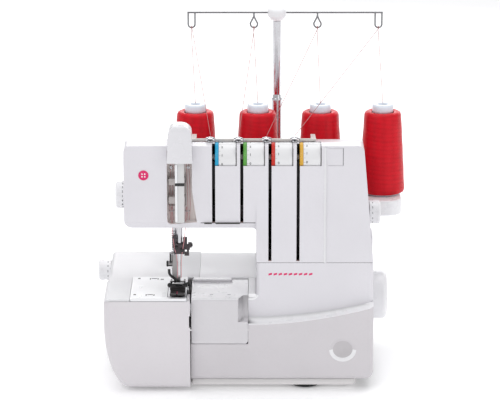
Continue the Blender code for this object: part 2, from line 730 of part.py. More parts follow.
def make_mast():
    sleeve = lathe("antenna_tube", "Z", MAST_X, MAST_Y, [
        (ROD_RADIUS + GAP, TRAY_TOP + GAP), (9.0, TRAY_TOP + GAP), (9.0, TRAY_TOP + 5), (5.8, TRAY_TOP + 7),
        (5.8, TUBE_TOP - 0.6), (5.4, TUBE_TOP), (ROD_RADIUS + GAP, TUBE_TOP),
    ], 20, ring=True)
    finish(sleeve, "antenna_tube", STEEL, 1.0, 0.25)
    pole = rod("antenna_rod", "Z", MAST_X, MAST_Y, ROD_RADIUS, ROD_LOW, CAP_LOW - GAP)
    finish(pole, "antenna_rod", (0.7, 0.7, 0.72), 1.0, 0.15, (MAST_X, MAST_Y, ROD_LOW))
    cap = lathe("cap", "Z", MAST_X, MAST_Y, [
        (0, CAP_LOW), (6.5, CAP_LOW), (10.0, CAP_LOW + 4.0), (10.6, CAP_LOW + 6.5), (10.6, CAP_TOP - 3.0),
        (8.5, CAP_TOP - 0.8), (5.0, CAP_TOP), (0, CAP_TOP),
    ], 24)
    cap = cut(cap, rod("bore", "X", MAST_Y, WIRE_Z, WIRE_RADIUS + GAP, 10, 50, 10))
    finish(cap, "antenna_cap", (0.85, 0.85, 0.87))


def loop_path(index):
    """Hanging eye of the guide wire: long U at the two ends, twisted drop at the two middle places."""
    x = LOOP_X[index]
    if index in (0, 3):
        half = 3.9
        return ([(x - half, MAST_Y, WIRE_Z), (x - half, MAST_Y, LOOP_LOW + half)]
                + [(x - half * math.cos(math.pi * k / 8), MAST_Y,
                LOOP_LOW + half - half * math.sin(math.pi * k / 8))
                   for k in range(1, 8)]
                + [(x + half, MAST_Y, LOOP_LOW + half), (x + half, MAST_Y, WIRE_Z)])
    middle = LOOP_LOW + 4.2
    drop = [(x - 0.2, MAST_Y - 1.0, WIRE_Z), (x + 0.5, MAST_Y - 1.0, middle + 7.5)]
    for degrees in range(40, -221, -26):
        angle = math.radians(degrees)
        drop.append((
            x + 4.1 * math.cos(angle), MAST_Y - 1.0 + 2.0 * (40 - degrees) / 260,
            middle + 4.2 * math.sin(angle),
        ))
    return drop + [(x - 0.5, MAST_Y + 1.0, middle + 7.5), (x + 0.2, MAST_Y + 1.0, WIRE_Z)]


def make_guide():
    wire = rod("antenna_guide", "X", MAST_Y, WIRE_Z, WIRE_RADIUS, -73.9, 150.3, 10)
    for index in range(4):
        wire = join(wire, tube("eye", loop_path(index), WIRE_RADIUS * 0.96, 8))
    finish(wire, "antenna_guide", (0.6, 0.6, 0.62), 1.0, 0.2)


def make_clips():
    for index in range(4):
        x = slot_x(index) - 4.0
        clip = lathe("clip", "Z", x, -63.5, [
            (0, BODY_TOP + GAP), (1.4, BODY_TOP + GAP), (1.4, 277.9), (4.2, 278.2), (4.8, 278.9),
            (2.0, 279.7),
            (1.2, 280.0), (2.0, 280.3), (4.8, 280.9), (4.2, 281.7), (1.4, 282.4), (0, 282.5),
        ], 18)
        tail = tube("tail", [
            (x + 1, -64, 281.5), (x + 4.2, -65, 281.2), (x + 6.2, -65.6, 279.6),
            (x + 6.8, -65.8, BODY_TOP + GAP),
        ], 0.7, 6)
        finish(join(clip, tail), "thread_clip_%d" % (index + 1), (0.6, 0.6, 0.6), 1.0, 0.2)


def make_threads():
    for index in range(4):
        cone_x = CONE_FIRST + CONE_PITCH * index
        clip_x = slot_x(index) - 4.0
        eye_x = LOOP_X[index]
        path = [
            (cone_x, CONE_Y, 291.9), (eye_x - 0.5, MAST_Y - 1.8, LOOP_LOW),
            (eye_x - 0.5, MAST_Y - 1.0, LOOP_LOW + 1.7),
            (eye_x, MAST_Y, LOOP_LOW + 2.0), (eye_x + 0.5, MAST_Y - 1.0, LOOP_LOW + 1.7),
            (eye_x + 0.5, MAST_Y - 1.8, LOOP_LOW), (clip_x + 0.5, -60.0, 283.0),
        ]
        finish(tube("thread", path, THREAD_RADIUS, 5), "thread_%d" % (index + 1), (0.75, 0.35, 0.38), 0, 0.6)


def make_cones():
    profile = [
        (PIN_RADIUS + 0.7, 187.3), (22, 187.3), (24.5, 188.2), (26.0, 190.5), (25.9, 197), (24.9, 222),
        (23.4, 252),
        (22.0, 277), (21.4, 280), (19.3, 282.0), (15.0, 282.7), (12.0, 281.6), (12.2, 289.8), (11.2, 291.3),
        (6.0, 291.3), (5.2, 290.4), (PIN_RADIUS + 0.7, 288.0),
    ]
    for index in range(4):
        x = CONE_FIRST + CONE_PITCH * index
        cone = lathe("cone", "Z", x, CONE_Y, profile, 28, ring=True)
        finish(cone, "thread_cone_%d" % (index + 1), RED, roughness=0.55, origin=(x, CONE_Y, 187.3))


# ---------------------------------------------------------------- dials

def make_tension_dials():
    colours = ((0.02, 0.33, 0.55), (0.10, 0.38, 0.07), (0.6, 0.02, 0.02), (0.68, 0.38, 0.04))
    for index in range(4):
        start = slot_x(index) + DIAL_START
        end = slot_x(index) + DIAL_END
        dial = lathe("dial", "X", DIAL_Y, DIAL_Z, [
            (DIAL_BORE, start), (DIAL_RADIUS - 0.7, start), (DIAL_RADIUS, start + 0.7),
            (DIAL_RADIUS, start + 4.0),
            (DIAL_RADIUS - 0.5, start + 4.2), (DIAL_RADIUS, start + 4.4), (DIAL_RADIUS, end - 0.7),
            (DIAL_RADIUS - 0.7, end), (DIAL_BORE, end),
        ], 36, ring=True)
        finish(dial, "tension_dial_%d" % (index + 1), colours[index], origin=(start, DIAL_Y, DIAL_Z))


def side_dial(name, y, z, radius, wall_x, outer_x, stem_x):
    """Knob on an X axis with a stem through the wall."""
    sign = 1 if outer_x > wall_x else -1
    dial = lathe(name, "X", y, z, [
        (0, stem_x), (3.2, stem_x), (3.2, wall_x), (radius, wall_x), (radius, outer_x - 1.5 * sign),
        (radius - 1.5, outer_x), (0, outer_x),
    ], 32)
    finish(dial, name, (0.85, 0.85, 0.87), origin=(wall_x, y, z))


def make_side_dials():
    side_dial("presser_pressure_dial", -29, 207.5, 15.0, ARM_LEFT - GAP, -152.5, -132)
    side_dial("differential_feed_dial", 60, 93.4, 11.7, BED_LEFT - GAP, -177.8, -154)
    side_dial("stitch_length_dial", -9, 182.4, 13.5, 132.8, 145.2, 122)


# ---------------------------------------------------------------- running gear

def make_drive():
    wheel = lathe("handwheel", "X", SHAFT_Y, SHAFT_Z, [
        (0, WHEEL_OUT - 5.0), (SHAFT_RADIUS + GAP, WHEEL_OUT - 5.0), (SHAFT_RADIUS + GAP, WHEEL_IN),
        (WHEEL_RADIUS - 1.5, WHEEL_IN), (WHEEL_RADIUS, WHEEL_IN + 1.5), (WHEEL_RADIUS, WHEEL_OUT - 5.0),
        (WHEEL_RADIUS - 1.2, WHEEL_OUT - 2.0), (WHEEL_RADIUS - 4.2, WHEEL_OUT - 0.3),
        (WHEEL_RADIUS - 7.0, WHEEL_OUT), (10.0, WHEEL_OUT - 1.2), (0, WHEEL_OUT - 1.2),
    ], 40)
    finish(wheel, "handwheel", WHITE, origin=(WHEEL_IN, SHAFT_Y, SHAFT_Z))
    shaft = lathe("main_shaft", "X", SHAFT_Y, SHAFT_Z, [
        (0, -52), (SHAFT_RADIUS, -52), (SHAFT_RADIUS, -40), (9, -40), (9, -32), (SHAFT_RADIUS, -32),
        (SHAFT_RADIUS, PULLEY_IN - 4), (10, PULLEY_IN - 4), (BIG_PULLEY + 1.5, PULLEY_IN - 1),
        (BIG_PULLEY + 1.5, PULLEY_IN),
        (BIG_PULLEY, PULLEY_IN + 0.8), (BIG_PULLEY, PULLEY_OUT - 0.8), (BIG_PULLEY + 1.5, PULLEY_OUT),
        (BIG_PULLEY + 1.5, PULLEY_OUT + 1), (SHAFT_RADIUS, PULLEY_OUT + 1), (SHAFT_RADIUS, WHEEL_OUT - 5.5),
        (0, WHEEL_OUT - 5.5),
    ], 28)
    finish(shaft, "main_shaft", STEEL, 1.0, 0.3, (0, SHAFT_Y, SHAFT_Z))
    motor = lathe("motor", "X", MOTOR_Y, MOTOR_Z, [
        (0, 30), (9, 30), (9, 34), (20, 34), (23, 37), (23, 88), (20, 91), (9, 91), (9, 94), (3.0, 94),
        (3.0, 97),
        (0, 97),
    ], 28)
    foot = box("motor_foot", 40, 84, MOTOR_Y - 18, MOTOR_Y + 18, 19.6, 32)
    finish(join(motor, foot), "motor", (0.2, 0.2, 0.22), 0.6, 0.5)
    pulley = lathe("motor_pulley", "X", MOTOR_Y, MOTOR_Z, [
        (0, 97.3), (SMALL_PULLEY + 1.5, 97.3), (SMALL_PULLEY + 1.5, PULLEY_IN),
        (SMALL_PULLEY, PULLEY_IN + 0.8),
        (SMALL_PULLEY, PULLEY_OUT - 0.8), (SMALL_PULLEY + 1.5, PULLEY_OUT),
        (SMALL_PULLEY + 1.5, PULLEY_OUT + 2),
        (0, PULLEY_OUT + 2),
    ], 20)
    finish(pulley, "motor_pulley", STEEL, 0.8, 0.4, (PULLEY_IN, MOTOR_Y, MOTOR_Z))
    finish(make_belt(), "drive_belt", DARK, roughness=0.7)


def belt_outline(extra):
    """Open belt round both pulleys, seen along X, extra outside the pulleys."""
    start = Vector((SHAFT_Y, SHAFT_Z))
    end = Vector((MOTOR_Y, MOTOR_Z))
    big = BIG_PULLEY + extra
    small = SMALL_PULLEY + extra
    heading = math.atan2(end.y - start.y, end.x - start.x)
    lean = math.acos((big - small) / (end - start).length)
    outline = []
    for k in range(17):
        angle = heading + lean + (2 * math.pi - 2 * lean) * k / 16
        outline.append((start.x + big * math.cos(angle), start.y + big * math.sin(angle)))
    for k in range(9):
        angle = heading - lean + 2 * lean * k / 8
        outline.append((end.x + small * math.cos(angle), end.y + small * math.sin(angle)))
    return outline


def make_belt():
    low, high = PULLEY_IN + 1.4, PULLEY_OUT - 1.4
    belt = prism("belt", "X", belt_outline(2.6), low, high)
    return cut(belt, prism("inside", "X", belt_outline(0.6), low - 2, high + 2))


def make_frame():
    frame = box("frame", -126, 118, -40, 28, LOW_BOTTOM, 19)
    parts = [
        box("column", 24, 62, -40, 2, 18, 252),
        box("arm", -126, 62, -44, -8, 218, 250),
        box("bearing", -30, -16, -24, 4, 18, 97),
        box("motor_pad", 36, 88, 20, 76, LOW_BOTTOM, 19.3),
        box("bracket", -91.5, -73.5, -81, -40, 232, 239),
        box("bracket", -91.5, -73.5, -81, -40, 211, 218.5),
        box("rack_left", -54, -49, -72, -40, 240, 266),
        box("rack_right", 80, 85, -72, -36, 240, 266),
        box("rack_beam", 60, 85, -44, -36, 240, 250),
        box("post", -130, -124, -36, -24, LOW_BOTTOM, PLATE_BOTTOM - GAP),
        box("post", -100, -94, -36, -24, LOW_BOTTOM, PLATE_BOTTOM - GAP),
        box("bridge", -130, -94, -30, -26, 90, 104),
        rod("axle", "X", DIAL_Y, DIAL_Z, AXLE_RADIUS, -52, 83, 12),
        rod("knife_pin", "X", KNIFE_PIVOT_Y, KNIFE_PIVOT_Z, 3.0, -76, -20, 12),
        box("knife_arm", -30, -26, -40, -20, 60, 92),
        rod("looper_pin", "Y", *LOWER_LOOPER_PIVOT, 3.0, -88, -30, 12),
        box("looper_post", -64, -56, -44, -36, LOW_BOTTOM, 32),
        rod("looper_pin", "Y", *UPPER_LOOPER_PIVOT, 3.0, -80, -20, 12),
    ]
    frame = join(frame, *parts)
    holes = [
        rod("bore", "X", SHAFT_Y, SHAFT_Z, SHAFT_RADIUS + GAP, -60, 90, 16),
        rod("bore", "Z", NEEDLE_X, NEEDLE_Y, BAR_RADIUS + GAP, 200, 245, 16),
        rod("bore", "Z", PRESSER_X, PRESSER_Y, 3.0 + GAP, 200, 245, 16),
    ]
    finish(cut(frame, *holes), "machine_frame", (0.35, 0.36, 0.38), 0.6, 0.5)


def make_power():
    inlet = box("inlet", 112, LOW_RIGHT + GAP + 1, 37, 65, 23, 67)
    bezel = box("bezel", LOW_RIGHT + GAP, LOW_RIGHT + 2.2, 34.5, 67.5, 20.5, 69.5)
    inlet = join(inlet, bevel(bezel, 0.8, 1))
    inlet = cut(inlet, box("socket", 120, 150, 41, 61, 27, 42), box("well", 126, 150, 42, 60, 49, 63))
    for y, z in ((46, 34.5), (56, 34.5)):
        inlet = join(inlet, rod("pin", "X", y, z, 1.3, 118, 132, 10))
    finish(inlet, "power_inlet", DARK, roughness=0.5)
    rocker = prism("rocker", "Y", [
        (128.6, 51.5), (133.5, 49.9), (138.0, 50.6), (135.8, 56.0), (138.0, 61.4), (133.5, 62.1),
        (128.6, 60.5),
    ], 42.6, 59.4)
    finish(rocker, "power_switch", (0.08, 0.08, 0.09), origin=(SWITCH_PIVOT[0], 51, SWITCH_PIVOT[1]))


# ---------------------------------------------------------------- stitching parts

def make_needle_parts():
    bar = rod("needle_bar", "Z", NEEDLE_X, NEEDLE_Y, BAR_RADIUS, 165.3, 246)
    finish(bar, "needle_bar", (0.7, 0.7, 0.7), 1.0, 0.2, (NEEDLE_X, NEEDLE_Y, 165.3))
    clamp = box("clamp", -86.5, -74.2, -81.0, -71.0, 153, 165)
    clamp = bevel(clamp, 0.8, 1)
    extras = [
        box("horn", -75.5, -68.5, -78.5, -74, 157.5, 163),
        box("horn_end", -70.5, -66.5, -79.0, -73.5, 160, 165),
        box("hook", -74.6, -69.5, -78, -74.5, 150.5, 154.5),
        box("hook_up", -72.0, -69.5, -78, -74.5, 153, 159),
        box("guide", -88.0, -83.9, -80.2, -73.0, 160.0, 173.5),
        box("guide", -76.1, -71.6, -79.6, -73.0, 160.0, 171.0),
        rod("screw", "Y", -83.5, 160.5, 1.7, -83.2, -80, 10),
        rod("screw", "Y", -77.5, 158.0, 1.7, -83.2, -80, 10),
    ]
    clamp = join(clamp, *extras)
    needles = {"left_needle": NEEDLE_X - 2.3, "right_needle": NEEDLE_X + 1.3}
    clamp = cut(clamp, *[rod("bore", "Z", x, NEEDLE_Y, 1.3, 150, 161, 10) for x in needles.values()])
    finish(clamp, "needle_clamp", (0.35, 0.35, 0.36), 1.0, 0.35)
    for name, x in needles.items():
        needle = lathe(name, "Z", x, NEEDLE_Y, [
            (0, 123.5), (0.25, 124.5), (0.6, 130), (0.6, 146), (1.0, 149), (1.0, 160), (0, 160),
        ], 10)
        finish(needle, name, (0.75, 0.75, 0.76), 1.0, 0.15)


def make_presser_parts():
    bar = rod("presser_bar", "Z", PRESSER_X, PRESSER_Y, 3.0, 151.3, 250)
    finish(bar, "presser_bar", (0.7, 0.7, 0.7), 1.0, 0.2, (PRESSER_X, PRESSER_Y, 151.3))
    shank = box("shank", -88.6, -82.0, -66.5, -59.5, 121.0, 151.0)
    shank = bevel(shank, 0.6, 1)
    shank = join(
        shank,
        box("ankle", -86.8, -79.6, -67.0, -61.0, 115.8, 123.0),
        rod("screw", "X", -63.0, 137.0, 3.0, -94.6, -88, 14),
        rod("pin", "X", FOOT_PIVOT_Y, FOOT_PIVOT_Z, 1.0, -91.3, -74.6, 10),
        box("back", -91.6, -88.0, -65.5, -60.5, 141, 150),
    )
    finish(shank, "foot_holder", (0.5, 0.5, 0.51), 1.0, 0.3)
    sole = prism("sole", "X", [
        (-104, 113.6), (-102.5, 111.6), (-98, 110.8), (-62, 110.8), (-59.5, 112.4), (-60.5, 113.4),
        (-98, 113.2),
        (-103.2, 114.6),
    ], -90.4, -74.0)
    sides = [box("cheek", a, a + 1.8, -71.5, -62.5, 112.5, 119.0) for a in (-90.4, -75.8)]
    blocks = [
        box("toe_block", -90.8, -85.0, -84, -79.5, 112.5, 117.6),
        box("toe_block", -77.5, -73.6, -84, -79.5, 112.5, 117.6),
        box("toe_bar", -88, -75, -84, -81.2, 113.0, 116.4),
    ]
    foot = join(sole, *sides, *blocks)
    foot = cut(
        foot, box("opening", -84.2, -76.8, -79.2, -72.0, 105, 120),
        box("front_slot", -83.4, -81.8, -110, -96, 105, 118),
        rod("bore", "X", FOOT_PIVOT_Y, FOOT_PIVOT_Z, 1.3, -95, -70, 12),
    )
    finish(foot, "presser_foot", (0.25, 0.25, 0.26), 1.0, 0.4, (-82.2, FOOT_PIVOT_Y, FOOT_PIVOT_Z))
    y, z = LIFTER_PIVOT
    lever = prism("lever", "X", [
        (y - 3.4, z - 1.5), (y + 2, z - 4), (-8, 167.5), (-4, 166.5), (-3, 168.5), (-7, 171.5),
        (y + 7, z + 0.5),
        (y + 2.6, z + 3.4), (y - 2.6, z + 3.4),
    ], -92.6, -87.0)
    finish(bevel(lever, 0.6, 1), "presser_lifter", (0.85, 0.85, 0.87), origin=(-90, y, z))


def swinging_arm(name, pivot, outline, y0, y1, colour=(0.7, 0.7, 0.72)):
    """Looper: hub on a Y axis with a flat steel arm."""
    x, z = pivot
    hub = rod("hub", "Y", x, z, 6.0, y0 - 1.5, y1 + 1.5, 20)
    hub = join(hub, prism("arm", "Y", outline, y0, y1))
    hub = cut(hub, rod("bore", "Y", x, z, 3.0 + GAP, y0 - 8, y1 + 8, 16))
    finish(hub, name, colour, 1.0, 0.2, (x, (y0 + y1) / 2, z))


def make_loopers():
    x, z = LOWER_LOOPER_PIVOT
    swinging_arm("lower_looper", LOWER_LOOPER_PIVOT, [
        (x - 4.5, z), (x + 4.5, z), (x + 3, z + 62), (x - 2, z + 69), (x - 20, z + 71.5), (x - 25, z + 70.5),
        (x - 19, z + 68.5), (x - 6, z + 64), (x - 3, z + 58),
    ], -80.4, -78.2)
    x, z = UPPER_LOOPER_PIVOT
    swinging_arm("upper_looper", UPPER_LOOPER_PIVOT, [
        (x + 2, z - 5), (x + 2, z + 5), (x - 30, z + 13), (x - 34, z + 17), (x - 41, z + 34),
        (x - 44, z + 36.5),
        (x - 44, z + 33), (x - 38, z + 12), (x - 33, z + 6), (x - 5, z - 5),
    ], -74.0, -72.2)


def make_feed_and_knives():
    feed = box("feed", -89.5, -74.6, -70, -62, 94, 100)
    for x in (-87.5, -76.0):
        bar = [(-87.0, 99.0), (-59.5, 99.0), (-59.5, 108.4)]
        teeth = []
        for k in range(12):
            y = -59.5 - 2.25 * k
            teeth += [(y - 1.6, 109.5), (y - 2.25, 108.4)]
        feed = join(feed, prism("teeth", "X", bar + teeth, x - 1.1, x + 1.1))
    feed = join(feed, box("arm", -84, -80, -66, -46, 88, 94), box("drop", -84, -80, -70, -62, 92, 95))
    finish(feed, "feed_dog", STEEL, 1.0, 0.35, (-82, -72, 96))
    blade = box("blade", -71.7, -70.6, -70, -58, 92, 108.8)
    holder = box("holder", -73.5, -70.6, -70, -60, 86, 94)
    finish(join(blade, holder), "lower_knife", (0.65, 0.65, 0.66), 1.0, 0.25)
    y, z = KNIFE_PIVOT_Y, KNIFE_PIVOT_Z
    knife = prism("knife", "X", [
        (y + 5, z - 3), (y + 5, z + 3), (y, z + 6), (-52, 104), (-56, 117), (-62, 118.5), (-66, 113.5),
        (-68.5, 108),
        (-69.5, 103), (-60, 98), (-40, 82), (y, z - 6),
    ], -70.3, -68.4)
    knife = cut(knife, rod("bore", "X", y, z, 3.0 + GAP, -80, -60, 16))
    finish(knife, "upper_knife", DARK, 0.9, 0.35, (-69.3, y, z))


def make_carry_handle():
    slope = (ARM_REAR_Z - BODY_TOP) / (ARM_REAR_Y - FLAT_END_Y)
    y, z = HANDLE_PIVOT

    def top_at(place_y):
        return BODY_TOP + slope * (place_y - FLAT_END_Y)

    grip = prism("grip", "X", [
        (-55.5, top_at(-55.5) + 0.7), (-44, top_at(-44) + 0.7), (-44, top_at(-44) + 3.2),
        (-54, top_at(-54) + 3.8),
        (-55.5, top_at(-55.5) + 2.8),
    ], -67, 71)
    for x in (-67, 66):
        side = prism("side", "X", [
            (-50, top_at(-50) + 0.7), (y, top_at(y) + 0.9), (y + 2.5, z - 1.5), (y + 2.5, z + 1.5),
            (y, z + 3.0),
            (-50, top_at(-50) + 3.4),
        ], x, x + 5)
        grip = join(grip, side)
    finish(grip, "carry_handle", (0.62, 0.60, 0.58), origin=(2, y, z))


clear_scene()
make_base()
make_front_case()
make_rear_case()
make_tension_panel()
make_take_up_cover()
make_bed_cover()
make_plates()
make_side_cover()
make_looper_cover()
make_spool_tray()
make_mast()
make_guide()
make_clips()
make_threads()
make_cones()
make_tension_dials()
make_side_dials()
make_drive()
make_frame()
make_power()
make_needle_parts()
make_presser_parts()
make_loopers()
make_feed_and_knives()
make_carry_handle()
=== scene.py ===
"""Serger (overlock) machine with four thread cones: the looks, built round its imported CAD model.

Lengths in the tables below are in millimetres; MM turns them into metres.
"""

import json
import math
import random

import bmesh
import bpy
from mathutils import Matrix, Vector
from mathutils.bvhtree import BVHTree


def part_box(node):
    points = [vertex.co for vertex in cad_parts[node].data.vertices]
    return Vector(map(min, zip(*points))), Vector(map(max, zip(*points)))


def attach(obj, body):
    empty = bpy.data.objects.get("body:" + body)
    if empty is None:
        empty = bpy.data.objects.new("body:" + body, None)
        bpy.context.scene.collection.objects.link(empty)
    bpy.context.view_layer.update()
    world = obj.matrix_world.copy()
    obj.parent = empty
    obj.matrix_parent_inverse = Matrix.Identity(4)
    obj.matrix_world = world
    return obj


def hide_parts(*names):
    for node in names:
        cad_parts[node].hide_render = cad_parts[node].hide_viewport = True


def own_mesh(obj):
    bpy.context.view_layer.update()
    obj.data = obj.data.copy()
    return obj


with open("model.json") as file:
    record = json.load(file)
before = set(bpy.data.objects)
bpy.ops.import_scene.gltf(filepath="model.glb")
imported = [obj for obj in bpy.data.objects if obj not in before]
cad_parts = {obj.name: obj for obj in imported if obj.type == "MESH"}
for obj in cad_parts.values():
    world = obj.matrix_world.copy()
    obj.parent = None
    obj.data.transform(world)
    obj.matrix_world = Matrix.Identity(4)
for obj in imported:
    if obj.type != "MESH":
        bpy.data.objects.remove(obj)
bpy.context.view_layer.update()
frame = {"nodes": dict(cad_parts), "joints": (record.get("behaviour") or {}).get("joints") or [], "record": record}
NODES = frame["nodes"]
NODE_BODY = {
    node: body for body, nodes in frame["record"]["behaviour"]["bodies"].items() for node in nodes
}
JOINTS = {joint["name"]: joint for joint in frame["joints"]}
MM = 0.001
FIXED = "machine_body"


# ---------------------------------------------------------------- measures taken from the frame

def low(node):
    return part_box(node)[0] / MM


def high(node):
    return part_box(node)[1] / MM


def middle(node):
    return (low(node) + high(node)) / 2


FACE_Y = low("tension_panel").y + 1.7          # flat front of arm and tower
TOP_Z = high("tension_panel").z
ARM_LEFT = low("tension_panel").x
ARM_LOW = low("rear_case").z
SEAM_Z = high("front_case").z
BULGE_Y = low("front_case").y                  # front of the lower body
PLATE_Z = high("cloth_plate").z
NEEDLE = middle("needle_bar")
DIAL_RADIUS = (high("tension_dial_1").z - low("tension_dial_1").z) / 2
SLOT_PITCH = middle("tension_dial_2").x - middle("tension_dial_1").x
SLOT_FIRST = low("tension_dial_1").x - 1.5     # middle of the first thread slot
SLOT_HALF = 1.75
WINDOW_LOW = TOP_Z - 22.4
CHANNEL_LEFT = -93.3
CHANNEL_RIGHT = -65.8
CHANNEL_BACK = -70.0
LEDGE_LEFT = -4.0                              # left end of the lower body's ledge
# painted shade: above this height the slots' lining is black
SLOT_SHADE_Z = TOP_Z - 30.0                       # the slots are black above this height
DIMPLE_X = 101.0
DIMPLE_Z = 47.5


def slot_x(index):
    return SLOT_FIRST + SLOT_PITCH * index


# ---------------------------------------------------------------- node helpers for materials

class Nodes:
    """Short hand for building one material's node tree."""

    def __init__(self, name):
        self.material = bpy.data.materials.new(name)
        self.material.use_nodes = True
        self.tree = self.material.node_tree
        self.shader = self.tree.nodes["Principled BSDF"]
        self.coordinates = self.add("ShaderNodeTexCoord").outputs["Object"]

    def add(self, kind, **settings):
        node = self.tree.nodes.new(kind)
        for key, value in settings.items():
            setattr(node, key, value)
        return node

    def link(self, source, target):
        self.tree.links.new(source, target)

    def noise(self, scale, detail=3.0, roughness=0.5, stretch=(1, 1, 1)):
        mapping = self.add("ShaderNodeMapping")
        mapping.inputs["Scale"].default_value = stretch
        self.link(self.coordinates, mapping.inputs["Vector"])
        node = self.add("ShaderNodeTexNoise")
        node.inputs["Scale"].default_value = scale
        node.inputs["Detail"].default_value = detail
        node.inputs["Roughness"].default_value = roughness
        self.link(mapping.outputs["Vector"], node.inputs["Vector"])
        return node.outputs["Fac"]

    def math(self, operation, first, second=0.0, third=None):
        node = self.add("ShaderNodeMath", operation=operation)
        values = [first, second] if third is None else [first, second, third]
        for socket, value in zip(node.inputs, values):
            if isinstance(value, (int, float)):
                socket.default_value = value
            else:
                self.link(value, socket)
        return node.outputs[0]

    def span(self, value, low_out, high_out, low_in=0.3, high_in=0.7):
        node = self.add("ShaderNodeMapRange")
        node.inputs["From Min"].default_value = low_in
        node.inputs["From Max"].default_value = high_in
        node.inputs["To Min"].default_value = low_out
        node.inputs["To Max"].default_value = high_out
        self.link(value, node.inputs["Value"])
        return node.outputs["Result"]

    def mix(self, factor, first, second):
        node = self.add("ShaderNodeMix", data_type="RGBA")
        self.link(factor, node.inputs["Factor"])
        for socket, value in ((node.inputs[6], first), (node.inputs[7], second)):
            if isinstance(value, tuple):
                socket.default_value = (*value, 1.0)
            else:
                self.link(value, socket)
        return node.outputs[2]

    def bump(self, height, strength, distance, before=None):
        node = self.add("ShaderNodeBump")
        node.inputs["Strength"].default_value = strength
        node.inputs["Distance"].default_value = distance
        self.link(height, node.inputs["Height"])
        if before is not None:
            self.link(before, node.inputs["Normal"])
        return node.outputs["Normal"]

    def set(self, **values):
        for key, value in values.items():
            self.shader.inputs[key.replace("_", " ")].default_value = value


def shade(colour, factor):
    return tuple(min(1.0, channel * factor) for channel in colour)


def plastic(name, colour, roughness=0.34, grain=0.03, coat=0.15, variation=0.025):
    """Injection moulded plastic: faint mottling, fine orange peel and uneven gloss."""
    n = Nodes(name)
    cloud = n.noise(14.0, 4.0)
    speck = n.noise(420.0, 2.0)
    base = n.mix(n.span(cloud, 0.0, 1.0), shade(colour, 1 - variation), shade(colour, 1 + variation))
    base = n.mix(n.span(speck, 0.0, 0.35, 0.55, 0.75), base, shade(colour, 0.955))
    n.link(base, n.shader.inputs["Base Color"])
    n.link(n.span(n.noise(60.0, 3.0), roughness - 0.05, roughness + 0.06), n.shader.inputs["Roughness"])
    peel = n.bump(n.noise(700.0, 2.0), grain, 0.0003)
    n.link(n.bump(n.noise(2600.0, 1.0), grain * 2, 0.00008, peel), n.shader.inputs["Normal"])
    n.set(Coat_Weight=coat, Coat_Roughness=0.18)
    return n.material


def steel(name, colour, roughness=0.28, direction=(1, 1, 30), scratches=0.12):
    """Ground or plated metal with fine scratches along one direction and smudges."""
    n = Nodes(name)
    smudge = n.noise(90.0, 4.0)
    lines = n.noise(240.0, 3.0, 0.6, direction)
    base = n.mix(n.span(smudge, 0.0, 1.0), shade(colour, 0.88), shade(colour, 1.06))
    n.link(base, n.shader.inputs["Base Color"])
    gloss = n.math("ADD", n.span(smudge, roughness - 0.06, roughness + 0.08), n.span(lines, -0.03, 0.05))
    n.link(gloss, n.shader.inputs["Roughness"])
    n.link(n.bump(lines, scratches, 0.0001), n.shader.inputs["Normal"])
    n.set(Metallic=1.0)
    return n.material


def rubber(name, colour):
    n = Nodes(name)
    base = n.mix(n.span(n.noise(160.0, 5.0), 0.0, 1.0), shade(colour, 0.7), shade(colour, 1.7))
    n.link(base, n.shader.inputs["Base Color"])
    n.link(n.span(n.noise(60.0), 0.55, 0.8), n.shader.inputs["Roughness"])
    n.link(n.bump(n.noise(1500.0, 2.0), 0.25, 0.0003), n.shader.inputs["Normal"])
    return n.material


def ink(name, colour):
    """Screen printed ink, slightly broken up by the plastic's grain."""
    n = Nodes(name)
    worn = n.span(n.noise(900.0, 3.0), 0.0, 0.3, 0.6, 0.8)
    n.link(n.mix(worn, colour, shade(colour, 1.25)), n.shader.inputs["Base Color"])
    n.link(n.span(n.noise(200.0), 0.38, 0.5), n.shader.inputs["Roughness"])
    n.link(n.bump(n.noise(1800.0, 2.0), 0.08, 0.0001), n.shader.inputs["Normal"])
    return n.material


def wound_thread(name, colour):
    """Cross wound sewing thread round the local Z axis: two crossing helices of fine strands."""
    n = Nodes(name)
    split = n.add("ShaderNodeSeparateXYZ")
    n.link(n.coordinates, split.inputs["Vector"])
    x, y, z = split.outputs
    turn = n.math("DIVIDE", n.math("ARCTAN2", y, x), 2 * math.pi)
    wobble = n.math("MULTIPLY", n.noise(70.0, 3.0), 0.0022)
    height = n.math("ADD", z, wobble)

    def strands(pitch, lead):
        along = n.math("ADD", n.math("DIVIDE", height, pitch), n.math("MULTIPLY", turn, lead))
        return n.math("ABSOLUTE", n.math("SINE", n.math("MULTIPLY", along, math.pi)))

    rising = strands(0.00052, 6.0)
    falling = strands(0.00052, -7.0)
    bands = strands(0.0049, 2.0)
    weave = n.math("MAXIMUM", rising, n.math("MULTIPLY", falling, 0.85))
    patches = n.noise(38.0, 4.0, 0.6, (1, 1, 5))
    tone = n.math("ADD", n.math("MULTIPLY", weave, 0.45), n.math("MULTIPLY", patches, 0.45))
    tone = n.math("ADD", tone, n.math("MULTIPLY", bands, 0.10))
    base = n.mix(n.span(tone, 0.0, 1.0, 0.25, 0.85), shade(colour, 0.68), shade(colour, 1.2))
    n.link(base, n.shader.inputs["Base Color"])
    n.link(n.span(tone, 0.46, 0.32), n.shader.inputs["Roughness"])
    coarse = n.bump(bands, 0.12, 0.0004)
    n.link(n.bump(weave, 0.5, 0.00022, coarse), n.shader.inputs["Normal"])
    n.set(Specular_IOR_Level=0.18)
    return n.material


